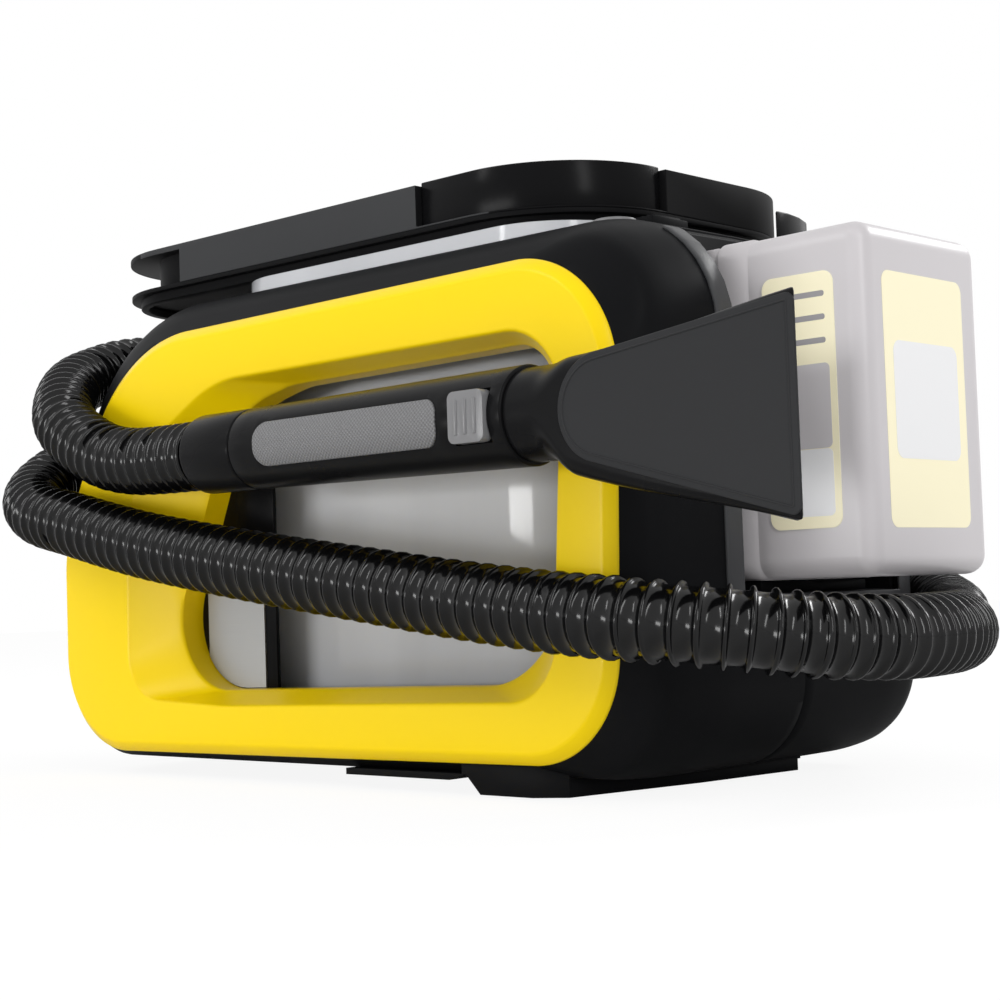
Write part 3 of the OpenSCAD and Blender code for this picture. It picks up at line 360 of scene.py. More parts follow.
class Paint:
    """Makes each finish once and puts it on pieces."""

    def __init__(self) -> None:
        """Starts with no materials."""
        self.made: dict[str, bpy.types.Material] = {}

    def get(self, finish: object) -> bpy.types.Material:
        """The material of a finish.

        Args:
            finish: a finish with a name and a make method.

        Returns:
            The material, made on first use.
        """
        if finish.name not in self.made:
            self.made[finish.name] = finish.make()
        return self.made[finish.name]

    def dress(self, obj: bpy.types.Object, *finishes: object) -> None:
        """Puts finishes in a piece's material slots, in order."""
        obj.data.materials.clear()
        for finish in finishes:
            obj.data.materials.append(self.get(finish))


# ---- mesh helpers ----
def shaded(bm: bmesh.types.BMesh, degrees: float) -> None:
    """Smooths a mesh's shading, except at edges sharper than this many degrees."""
    for face in bm.faces:
        face.smooth = True
    for edge in bm.edges:
        edge.smooth = not (edge.is_manifold and edge.calc_face_angle(0.0) > math.radians(degrees))


def finish_mesh(name: str, bm: bmesh.types.BMesh, smooth: float = 35.0) -> bpy.types.Object:
    """Turns a bmesh into an object of the scene.

    Args:
        name: the object's name.
        bm: the mesh, in metres; it is freed.
        smooth: edges sharper than this many degrees stay sharp.

    Returns:
        The object.
    """
    bmesh.ops.remove_doubles(bm, verts=bm.verts, dist=1e-6)
    bmesh.ops.recalc_face_normals(bm, faces=bm.faces)
    shaded(bm, smooth)
    mesh = bpy.data.meshes.new(name)
    bm.to_mesh(mesh)
    bm.free()
    obj = bpy.data.objects.new(name, mesh)
    bpy.context.collection.objects.link(obj)
    return obj


def loft(bm: bmesh.types.BMesh, rings: Sequence[Sequence[Sequence[float]]], close: bool = False) -> None:
    """Joins loops of the same number of points into a skin.

    Args:
        bm: the mesh.
        rings: the loops, in order.
        close: whether the last loop is joined to the first.
    """
    loops = [[bm.verts.new(p) for p in points] for points in rings]
    pairs = list(zip(loops, loops[1:])) + ([(loops[-1], loops[0])] if close else [])
    for a, b in pairs:
        for i in range(len(a)):
            bm.faces.new((a[i - 1], a[i], b[i], b[i - 1]))
    if not close:
        bm.faces.new(list(reversed(loops[0])))
        bm.faces.new(loops[-1])


def angles(count: int) -> list[float]:
    """Evenly spaced angles of a turn, in radians."""
    return [2 * math.pi * i / count for i in range(count)]


def outline(discs: Sequence[Disc], grow: float, count: int = 160) -> list[tuple[float, float]]:
    """The outline that wraps discs, one point for each direction, so that two outlines match point by point.

    Args:
        discs: x, z and radius of each disc.
        grow: how far the outline stands outside them.
        count: number of directions.

    Returns:
        The points as x, z.
    """
    found = []
    for a in angles(count):
        nx, nz = math.cos(a), math.sin(a)
        x, z, r = max(discs, key=lambda d: d[0] * nx + d[1] * nz + d[2])
        found.append((x + (r + grow) * nx, z + (r + grow) * nz))
    return found


def smooth_line(points: Sequence[Point], steps: int) -> list[Vector]:
    """A smooth line through points.

    Args:
        points: the points.
        steps: parts between two points.

    Returns:
        The points of the line.
    """
    p = [Vector(q) for q in points]
    line = []
    for i in range(len(p) - 1):
        a, b, c, d = p[max(0, i - 1)], p[i], p[i + 1], p[min(len(p) - 1, i + 2)]
        for k in range(steps):
            t = k / steps
            line.append(0.5 * (2 * b + (c - a) * t + (2 * a - 5 * b + 4 * c - d) * t * t
                               + (3 * b - a - 3 * c + d) * t * t * t))
    return line + [p[-1]]


def length_of(line: Sequence[Vector]) -> float:
    """The length of a line of points."""
    return sum((b - a).length for a, b in zip(line, line[1:]))


def even(line: Sequence[Vector], count: int) -> list[Vector]:
    """Points at even distances along a line.

    Args:
        line: the line.
        count: number of parts.

    Returns:
        count + 1 points.
    """
    reach = [0.0]
    for a, b in zip(line, line[1:]):
        reach.append(reach[-1] + (b - a).length)
    found, k = [], 0
    for i in range(count + 1):
        want = reach[-1] * i / count
        while k < len(line) - 2 and reach[k + 1] < want:
            k += 1
        share = (want - reach[k]) / max(reach[k + 1] - reach[k], 1e-9)
        found.append(line[k].lerp(line[k + 1], share))
    return found


# ---- studio ----
@dataclass
class Lamp:
    """An area lamp: its place, what it looks at, its width and height, and its watts."""

    name: str
    place: Point
    aim: Point
    size: tuple[float, float]
    power: float


LAMPS = (
    Lamp("key", (-0.9, -1.6, 1.5), (0.0, 0.0, 0.12), (0.22, 0.9), 7.0),
    Lamp("front", (-0.35, -1.7, 0.08), (0.0, -0.1, 0.16), (1.0, 0.3), 11.0),
    Lamp("fill", (1.7, -0.7, 0.9), (0.0, 0.0, 0.12), (0.25, 1.2), 9.0),
    Lamp("back", (0.6, 1.7, 1.3), (0.0, 0.0, 0.15), (1.2, 0.35), 14.0),
)


@dataclass
class Studio:
    """Camera, lights and floor."""

    eye: Point = (0.6294, -0.6463, 0.07928)
    right: Point = (0.72743, 0.68531, -0.03450)
    up: Point = (0.05953, -0.01294, 0.99814)
    forward: Point = (-0.68359, 0.72813, 0.05020)
    lens: float = 68.83
    floor_size: float = 12.0
    world_light: float = 0.6
    floor_glow: float = 1.06
    floor_share: float = 0.85

    def camera(self) -> None:
        """Makes the camera."""
        data = bpy.data.cameras.new("camera")
        data.lens, data.sensor_width = self.lens, 36.0
        data.clip_start, data.clip_end = 0.01, 50.0
        cam = bpy.data.objects.new("camera", data)
        rows = [[self.right[i], self.up[i], -self.forward[i], self.eye[i]] for i in range(3)]
        cam.matrix_world = Matrix(rows + [[0.0, 0.0, 0.0, 1.0]])
        bpy.context.collection.objects.link(cam)
        bpy.context.scene.camera = cam

    def lamp(self, lamp: Lamp) -> None:
        """Makes one area lamp.

        Args:
            lamp: what it is like.
        """
        data = bpy.data.lights.new(lamp.name, "AREA")
        data.shape, data.energy = "RECTANGLE", lamp.power
        data.size, data.size_y = lamp.size
        obj = bpy.data.objects.new(lamp.name, data)
        turn = (Vector(lamp.aim) - Vector(lamp.place)).to_track_quat("-Z", "Y")
        obj.matrix_world = Matrix.Translation(lamp.place) @ turn.to_matrix().to_4x4()
        bpy.context.collection.objects.link(obj)
        LOG.info("lamp %s: %.1f W", lamp.name, lamp.power)

    def white_world(self) -> None:
        """A world that looks white and lights evenly."""
        world = bpy.data.worlds.new("studio")
        bpy.context.scene.world = world
        world.use_nodes = True
        tree = world.node_tree
        tree.nodes.clear()
        path = tree.nodes.new("ShaderNodeLightPath")
        seen = path.outputs["Is Camera Ray"]
        for ray in ("Is Glossy Ray", "Is Transmission Ray"):
            either = tree.nodes.new("ShaderNodeMath")
            either.operation = "MAXIMUM"
            tree.links.new(seen, either.inputs[0])
            tree.links.new(path.outputs[ray], either.inputs[1])
            seen = either.outputs[0]
        lit, shown = tree.nodes.new("ShaderNodeBackground"), tree.nodes.new("ShaderNodeBackground")
        lit.inputs["Strength"].default_value = self.world_light
        lit.inputs["Color"].default_value = (1.0, 1.0, 1.0, 1.0)
        shown.inputs["Color"].default_value = (1.0, 1.0, 1.0, 1.0)
        shown.inputs["Strength"].default_value = 1.0
        chosen = tree.nodes.new("ShaderNodeMixShader")
        out = tree.nodes.new("ShaderNodeOutputWorld")
        tree.links.new(seen, chosen.inputs[0])
        tree.links.new(lit.outputs[0], chosen.inputs[1])
        tree.links.new(shown.outputs[0], chosen.inputs[2])
        tree.links.new(chosen.outputs[0], out.inputs[0])

    def floor(self) -> None:
        """A white floor that keeps the object's shadow."""
        bm = bmesh.new()
        bmesh.ops.create_grid(bm, x_segments=1, y_segments=1, size=self.floor_size / 2)
        obj = finish_mesh("floor", bm)
        g = Graph("floor_white")
        matt = g.add("ShaderNodeBsdfDiffuse", None, {"Color": (0.9, 0.9, 0.9, 1.0)})
        glow = g.add("ShaderNodeEmission", None,
                     {"Color": (1.0, 1.0, 1.0, 1.0), "Strength": self.floor_glow})
        path = g.node("ShaderNodeLightPath")
        seen = Wire(g, path.outputs["Is Camera Ray"])
        mixed = g.add("ShaderNodeMixShader", None, {0: seen * self.floor_share, 1: matt, 2: glow})
        g.node("ShaderNodeOutputMaterial", None, {"Surface": mixed})
        obj.data.materials.append(g.material)

    def build(self) -> None:
        """Makes the whole studio."""
        self.camera()
        self.white_world()
        self.floor()
        for lamp in LAMPS:
            self.lamp(lamp)
        scene = bpy.context.scene
        scene.view_settings.view_transform = "Standard"


def eased(stations: Sequence[float], rows: Sequence[Sequence[float]], at: float) -> list[float]:
    """Rows of values between stations, smooth and without overshoot.

    Args:
        stations: where the rows are, rising.
        rows: the values at each station.
        at: where the values are wanted.

    Returns:
        The values there.
    """
    k = 0
    while k < len(stations) - 2 and stations[k + 1] < at:
        k += 1
    gaps = [b - a for a, b in zip(stations, stations[1:])]
    t = (at - stations[k]) / gaps[k]
    found = []
    for column in zip(*rows):
        rise = [(b - a) / g for a, b, g in zip(column, column[1:], gaps)]

        def slope(i: int) -> float:
            """The curve's slope at a station."""
            if i == 0 or i == len(gaps):
                return rise[min(i, len(gaps) - 1)]
            a, b = rise[i - 1], rise[i]
            return 0.0 if a * b <= 0 else 2 * a * b / (a + b)

        a, b, g = column[k], column[k + 1], gaps[k]
        found.append(a * (2 * t ** 3 - 3 * t * t + 1) + slope(k) * g * (t ** 3 - 2 * t * t + t)
                     + b * (3 * t * t - 2 * t ** 3) + slope(k + 1) * g * (t ** 3 - t * t))
    return found


def spaced(a: float, b: float, parts: int) -> list[float]:
    """parts + 1 even values from a to b."""
    return [a + (b - a) * i / parts for i in range(parts + 1)]


def prism(name: str, corners: Sequence[Point], along: Point) -> bpy.types.Object:
    """A straight solid over a flat outline.

    Args:
        name: its name.
        corners: the outline in order, in metres.
        along: how far, and which way, it reaches.

    Returns:
        The solid.
    """
    bm = bmesh.new()
    face = bm.faces.new([bm.verts.new(p) for p in corners])
    made = bmesh.ops.extrude_face_region(bm, geom=[face])
    bmesh.ops.translate(bm, vec=along, verts=[v for v in made["geom"] if isinstance(v, bmesh.types.BMVert)])
    return finish_mesh(name, bm)


def block(name: str, low: Point, high: Point) -> bpy.types.Object:
    """A box between two corners, in millimetres."""
    (x0, y0, z0), (x1, y1, z1) = ([v * MM for v in p] for p in (low, high))
    return prism(name, [(x0, y0, z0), (x1, y0, z0), (x1, y1, z0), (x0, y1, z0)], (0.0, 0.0, z1 - z0))


def round_rect(x0: float, x1: float, y0: float, y1: float, r: float,
               steps: int = 8) -> list[tuple[float, float]]:
    """Corners of a rectangle with rounded corners."""
    points = []
    for k, (cx, cy) in enumerate(((x1 - r, y1 - r), (x0 + r, y1 - r), (x0 + r, y0 + r), (x1 - r, y0 + r))):
        for i in range(steps + 1):
            a = math.pi / 2 * (k + i / steps)
            points.append((cx + r * math.cos(a), cy + r * math.sin(a)))
    return points


def carved(obj: bpy.types.Object, cutters: Sequence[bpy.types.Object]) -> None:
    """Cuts solids out of a piece and removes the cutters.

    Args:
        obj: the piece.
        cutters: what is cut away.
    """
    for cutter in cutters:
        cut = obj.modifiers.new("cut", "BOOLEAN")
        cut.operation, cut.solver, cut.object = "DIFFERENCE", "EXACT", cutter
    bpy.context.view_layer.update()
    mesh = bpy.data.meshes.new_from_object(obj.evaluated_get(bpy.context.evaluated_depsgraph_get()))
    obj.modifiers.clear()
    obj.data = mesh
    for cutter in cutters:
        bpy.data.objects.remove(cutter)


def creased(obj: bpy.types.Object, degrees: float = 35.0) -> None:
    """Smooths the shading of a piece, except at its sharp edges."""
    bm = bmesh.new()
    bm.from_mesh(obj.data)
    shaded(bm, degrees)
    bm.to_mesh(obj.data)
    bm.free()


class Workshop:
    """Knows the frame and puts finished pieces on it."""

    def __init__(self, frame: dict, paint: Paint) -> None:
        """Reads which body each node rides on and which slot it has.

        Args:
            frame: the loaded frame.
            paint: the finishes.
        """
        self.frame, self.paint = frame, paint
        record = frame["record"]
        self.body = {n: b for b, nodes in record["behaviour"]["bodies"].items() for n in nodes}
        self.slots = {s["node"]: s["material_slot"] for s in record["subparts"]}

    def place(self, obj: bpy.types.Object, like: str, *finishes: object,
              replaces: Sequence[str] = ()) -> None:
        """Paints a piece and fixes it to the body of a CAD node.

        Args:
            obj: the piece.
            like: the CAD node whose body and slot it takes.
            finishes: its finishes; the slot's own unless given.
            replaces: the CAD nodes that it stands for.
        """
        self.paint.dress(obj, *(finishes or (NODE_FINISH[self.slots[like]],)))
        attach(obj, self.body[like])
        if replaces:
            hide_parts(*replaces)
        LOG.info("%s: %d faces", obj.name, len(obj.data.polygons))

    def softened(self, node: str, width: float, *finishes: object, sharp: float = 30.0,
                 segments: int = 2) -> bpy.types.Object:
        """A copy of a CAD node with its edges rounded, which stands for it.

        Args:
            node: the CAD node.
            width: the rounding in millimetres.
            finishes: its finishes; the slot's own unless given.
            sharp: edges sharper than this many degrees are rounded.
            segments: steps of the rounding.

        Returns:
            The piece.
        """
        source = self.frame["nodes"][node]
        bm = bmesh.new()
        bm.from_mesh(source.data)
        bm.transform(source.matrix_world)
        bmesh.ops.remove_doubles(bm, verts=bm.verts, dist=5e-6)
        bmesh.ops.dissolve_limit(bm, angle_limit=math.radians(1.0), verts=bm.verts, edges=bm.edges)
        edges = [e for e in bm.edges if e.is_manifold and e.calc_face_angle(0.0) > math.radians(sharp)]
        bmesh.ops.bevel(bm, geom=edges, offset=width * MM, offset_type="OFFSET", segments=segments,
                        profile=0.5, affect="EDGES", clamp_overlap=True, material=-1)
        bmesh.ops.triangulate(bm, faces=[f for f in bm.faces if len(f.verts) > 4])
        obj = finish_mesh(f"{node}_dressed", bm)
        self.place(obj, node, *finishes, replaces=(node,))
        return obj


# ---- suction hose ----
@dataclass
class Hose:
    """The ribbed suction hose on its route round the housing, in millimetres."""

    outer: float = 31.0
    rib: float = 2.0
    sides: int = 28
    frame_count: int = 3600
    # distance along the hose and pitch of the ribs there
    pitches: tuple[tuple[float, float], ...] = (
        (0, 7.4), (300, 8.2), (700, 8.6), (960, 6.6), (1060, 8.6), (1180, 9.6), (1340, 8.4), (1480, 7.4),
        (1810, 7.4))
    # across a bead: distance from its middle and height, as a share of the rib
    bead: tuple[tuple[float, float], ...] = (
        (-1.15, 0.0), (-0.85, 0.62), (-0.3, 0.97), (0.3, 0.97), (0.85, 0.62), (1.15, 0.0))
    route: tuple[Point, ...] = (
        (-34, -124.5, 145.5), (-50, -124.5, 145.5), (-70, -124.5, 145.7), (-88, -124.5, 146.5),
        (-108, -124.5, 150), (-130, -122.7, 158), (-152.5, -117.6, 169), (-174, -103.5, 182),
        (-192, -85.5, 193), (-205, -64, 201), (-211.5, -40, 208), (-213, -10, 212), (-213, 25, 213),
        (-209, 58, 210), (-196, 90, 205), (-170, 115, 198), (-132, 125.5, 191), (-92, 128, 184),
        (-50, 128, 175), (-8, 127, 162), (34, 125, 145), (74, 124.5, 124), (112, 124, 102), (146, 122, 84),
        (179, 112, 72), (204, 89, 66), (220, 62, 63), (236, 36, 61), (252, 10, 60), (263, -21, 60),
        (264, -54, 60), (252, -86, 62), (229, -109.5, 66), (198, -121.5, 69.5), (160, -122.5, 73),
        (110, -122.5, 79), (60, -122.5, 86), (10, -122.5, 93), (-40, -122.5, 100.5), (-90, -122.5, 109),
        (-140, -122.2, 120), (-175, -118.8, 127.5), (-199.5, -104.5, 138), (-213, -79, 151.5),
        (-219, -45, 166), (-219, -5, 174), (-215, 35, 174), (-209.5, 72, 168), (-195, 104, 157),
        (-166, 122.5, 145), (-134, 126, 138), (-115, 126, 138), (-100, 126, 138))

    def places(self, total: float) -> list[tuple[float, float]]:
        """Where the rings of the skin are.

        Args:
            total: length of the hose in millimetres.

        Returns:
            Distance along the hose and radius of each ring.
        """
        rings = [(0.0, self.outer / 2 - self.rib)]
        at = 4.0
        while at < total - 4.0:
            rings.extend((at + d, self.outer / 2 - self.rib * (1 - h)) for d, h in self.bead)
            below = max((p for p in self.pitches if p[0] <= at), key=lambda p: p[0])
            above = min((p for p in self.pitches if p[0] > at), key=lambda p: p[0], default=below)
            share = (at - below[0]) / max(1.0, above[0] - below[0])
            pitch = below[1] + (above[1] - below[1]) * share
            rings.append((at + pitch / 2, self.outer / 2 - self.rib - 0.1))
            at += pitch
        return [r for r in rings if r[0] < total - 1.0] + [(total, self.outer / 2 - self.rib)]

    def build(self, shop: Workshop) -> None:
        """Args:
            shop: where it is put.
        """
        line = [p * MM for p in smooth_line(self.route, 6)]
        count = self.frame_count
        fine = even(line, count)
        step = length_of(fine) / count / MM
        bm = bmesh.new()
        side = (fine[1] - fine[0]).cross(Vector((0.31, 0.17, 0.93))).normalized()
        frames = []
        for i, p in enumerate(fine):
            way = (fine[min(count, i + 1)] - fine[max(0, i - 1)]).normalized()
            side = (side - way * side.dot(way)).normalized()
            frames.append((p, way, side))
        loops = []
        for at, r in self.places(step * count):
            k = min(count - 1, int(at / step))
            share = at / step - k
            p = fine[k].lerp(fine[k + 1], share)
            _, way, side = frames[k]
            other = way.cross(side)
            loops.append([p + (side * math.cos(a) + other * math.sin(a)) * r * MM
                          for a in angles(self.sides)])
        loft(bm, loops)
        obj = finish_mesh("suction_hose", bm, 75.0)
        shop.place(obj, "hose", HOSE_BLACK, replaces=("hose",))
        length_of(line)
        [tuple(p) for p in even(line, 400)]


# ---- housing ----
@dataclass
class Housing:
    """The two shells and the framed window, in millimetres."""

    half_w: float = 190.0
    bottom: float = 6.0
    top: float = 230.0
    front: float = -98.0
    bezel_face: float = -102.5
    back: float = 104.0
    wall: float = 3.0
    seam: float = -2.0
    gap: float = 0.04
    groove: float = 0.6
    low_r: float = 38.0
    top_r: float = 50.0
    left: float = -182.5
    right: float = 177.0
    low: float = 11.4
    high: float = 210.4
    # y, margin at the sides, below and above, radius of the left shoulder
    sections: tuple[tuple[float, float, float, float, float], ...] = (
        (-86.0, 5.5, 2.0, 10.5, 90.0), (-70.0, 2.5, 0.5, 3.5, 84.0), (-50.0, 0.6, 0.0, 0.3, 80.0),
        (0.0, 0.0, 0.0, 0.0, 78.0), (60.0, 0.6, 0.3, 0.5, 76.0), (80.0, 2.0, 2.0, 2.5, 70.0),
        (94.5, 10.0, 11.0, 12.0, 58.0), (104.0, 30.0, 30.0, 31.0, 42.0))
    # the openings: the tank's well, the battery's notch, the button, the release, the port, the grille
    well: tuple[float, float, float, float] = (-112.2, 122.2, -62.2, 80.2)
    well_r: float = 44.2
    well_floor: float = 82.0
    notch: tuple[Point, Point] = ((160.0, -44.5, 74.0), (220.0, 73.5, 260.0))
    button: tuple[float, float] = (137.0, -48.0)
    button_r: float = 9.4
    hood: tuple[float, float] = (133.6, 35.6)
    hood_outline: tuple[tuple[float, float], ...] = (
        (0, 39.3), (24.8, -1.0), (24.8, 10.6), (22.2, 22.6), (17.6, 34.8), (12.4, 42.2), (7.3, 44.3),
        (0, 44.3))
    port: tuple[float, float] = (-58.0, 138.0)
    port_r: float = 17.2
    vent: tuple[Point, Point] = ((-152.0, 70.0, 96.0), (-100.0, 130.0, 162.0))

    def bezel(self) -> list[Disc]:
        """Discs that the bezel's outline wraps."""
        a, b, c, d = self.left, self.right, self.low, self.high
        return [(a + 46, c + 46, 46), (b - 48.2, c + 46.2, 44.2), (b - 49.1, d - 49.1, 49.1),
                (a + 103.4, d - 92.1, 89.3), (a + 81, c + 83.4, 81)]

    def crease(self) -> list[Disc]:
        """Discs of the crease where the pocket starts."""
        a, b, c, d = self.left, self.right, self.low, self.high
        return [(a + 77.9, c + 47.2, 22.7), (b - 58.1, c + 51.7, 25.5), (b - 53.8, d - 55.7, 27.9),
                (a + 142.5, d - 102.2, 73.4), (a + 126, c + 92.4, 69.8)]

    def window(self) -> list[Disc]:
        """Discs of the window's outline."""
        a, b, c, d = self.left, self.right, self.low, self.high
        return [(a + 111.8, c + 61.4, 32.4), (b - 82.7, c + 75.6, 43.7), (b - 59, d - 50.7, 19),
                (a + 168.3, d - 82.6, 49), (a + 160.3, c + 104.7, 58.8)]

    def section(self, side: float, below: float, above: float, shoulder: float) -> list[Disc]:
        """Discs of one cross-section of the housing."""
        low, high = max(8.0, self.low_r - below), max(8.0, self.top_r - above)
        return [(-(self.half_w - side - low), self.bottom + below + low, low),
                (self.half_w - side - low, self.bottom + below + low, low),
                (self.half_w - side - high, self.top - above - high, high),
                (side + shoulder - self.half_w, self.top - above - shoulder, shoulder)]

    def loops(self, ys: Sequence[float], inset: float) -> list[list[Point]]:
        """Loops of the shell's skin.

        Args:
            ys: their places from front to back.
            inset: how far they stand inside the outer skin.

        Returns:
            The loops in metres.
        """
        stations = [self.front] + [s[0] for s in self.sections]
        outlines = [outline(self.bezel(), 0.0)] + [outline(self.section(*s[1:]), 0.0) for s in self.sections]
        rows = [[v for p in points for v in p] for points in outlines]
        turn = angles(len(outlines[0]))
        found = []
        for y in ys:
            flat = eased(stations, rows, y)
            found.append([((flat[2 * i] - inset * math.cos(a)) * MM, y * MM,
                           (flat[2 * i + 1] - inset * math.sin(a)) * MM) for i, a in enumerate(turn)])
        return found

    def cutters(self) -> list[bpy.types.Object]:
        """The well for the tank, the notch for the battery and the holes of the controls."""
        (x0, x1, y0, y1), (bx, by), (hx, hy) = self.well, self.button, self.hood
        under = 215.0 * MM
        up = (0.0, 0.0, 30.0 * MM)
        well = prism("well", [(x * MM, y * MM, self.well_floor * MM)
                              for x, y in round_rect(x0, x1, y0, y1, self.well_r)], (0.0, 0.0, 0.2))
        notch = block("notch", *self.notch)
        button = prism("button", [((bx + self.button_r * math.cos(a)) * MM,
                                   (by + self.button_r * math.sin(a)) * MM, under) for a in angles(48)], up)
        hood = prism("hood", [((hx + x) * MM, (hy + y) * MM, under) for x, y in self.hood_outline], up)
        return [well, notch, button, hood]

    def front_shell(self, shop: Workshop) -> None:
        """The front half."""
        ys = spaced(self.front, -86.0, 4)[:-1] + spaced(-86.0, self.seam - 0.9, 20)
        outer = self.loops(ys, 0.0) + self.loops([self.seam - self.gap], self.groove)
        inner = self.loops([self.seam - self.gap] + list(reversed(spaced(self.front, self.seam - 4, 12))),
                           self.wall)
        bm = bmesh.new()
        loft(bm, outer + inner, close=True)
        obj = finish_mesh("front_shell_dressed", bm)
        carved(obj, self.cutters())
        creased(obj)
        shop.place(obj, "front_shell", BLACK_SHELL, replaces=("front_shell",))

    def rear_shell(self, shop: Workshop) -> None:
        """The rear half."""
        ys = spaced(self.seam + 0.9, 60.0, 12) + spaced(60.0, 94.5, 10)[1:] + spaced(94.5, self.back, 6)[1:]
        outer = self.loops([self.seam + self.gap], self.groove) + self.loops(ys, 0.0)
        inner = self.loops(list(reversed([self.seam + self.gap] + spaced(self.seam + 4, 96.0, 12))),
                           self.wall)
        bm = bmesh.new()
        loft(bm, inner + outer)
        obj = finish_mesh("rear_shell_dressed", bm)
        px, pz = self.port
        port = prism("port", [((px + self.port_r * math.cos(a)) * MM, 70.0 * MM,
                               (pz + self.port_r * math.sin(a)) * MM) for a in angles(48)], (0.0, 0.05, 0.0))
        carved(obj, self.cutters() + [port, block("vent", *self.vent)])
        creased(obj)
        shop.place(obj, "rear_shell", BLACK_SHELL, replaces=("rear_shell",))

    def frame(self, shop: Workshop) -> None:
        """The window bezel with its pocket."""
        face = self.bezel_face
        rings = []

        def add(discs: list[Disc], grow: float, y: float) -> None:
            """Adds one loop."""
            rings.append([(x * MM, y * MM, z * MM) for x, z in outline(discs, grow)])

        edge, crease, window = self.bezel(), self.crease(), self.window()
        for grow, back in ((0.0, 4.5), (0.0, 3.9), (-0.35, 3.2), (-3.9, 0.45), (-4.6, 0.08), (-5.6, 0.0)):
            add(edge, grow, face + back)
        for grow, back in ((1.6, 0.0), (0.7, 0.12), (0.0, 0.55)):
            add(crease, grow, face + back)
        slope = [outline(crease, -0.2), outline(window, 0.6)]
        start, end = 0.7, 13.4
        for t in spaced(0.04, 0.97, 8):
            y = face + start + (end - start) * (t + 0.16 * t * (1 - t))
            rings.append([((a[0] * (1 - t) + b[0] * t) * MM, y * MM, (a[1] * (1 - t) + b[1] * t) * MM)
                          for a, b in zip(*slope)])
        for grow, back in ((0.1, 14.0), (0.0, 14.8), (0.0, 26.0), (2.5, 26.0), (2.5, 14.5)):
            add(window, grow, face + back)
        add(crease, 2.5, face + 4.5)
        bm = bmesh.new()
        loft(bm, rings, close=True)
        obj = finish_mesh("window_bezel_dressed", bm, 50.0)
        shop.place(obj, "window_bezel", YELLOW, replaces=("window_bezel",))

    def build(self, shop: Workshop) -> None:
        """Makes the housing.

        Args:
            shop: where it is put.
        """
        self.front_shell(shop)
        self.rear_shell(shop)
        self.frame(shop)
        shop.softened("bay_rim", 1.2, RIM_GREY)
        shop.softened("battery_release", 1.0, GLOSS_BLACK)
        for node, width in (("battery_bay", 0.8), ("battery_rails", 0.8), ("right_skid", 1.0),
                            ("rear_rail", 1.0), ("info_panel", 0.4), ("hose_port", 0.8),
                            ("exhaust_grille", 0.4), ("power_button", 0.5), ("tank_latch", 0.6),
                            ("tool_clip", 0.8)):
            shop.softened(node, width)


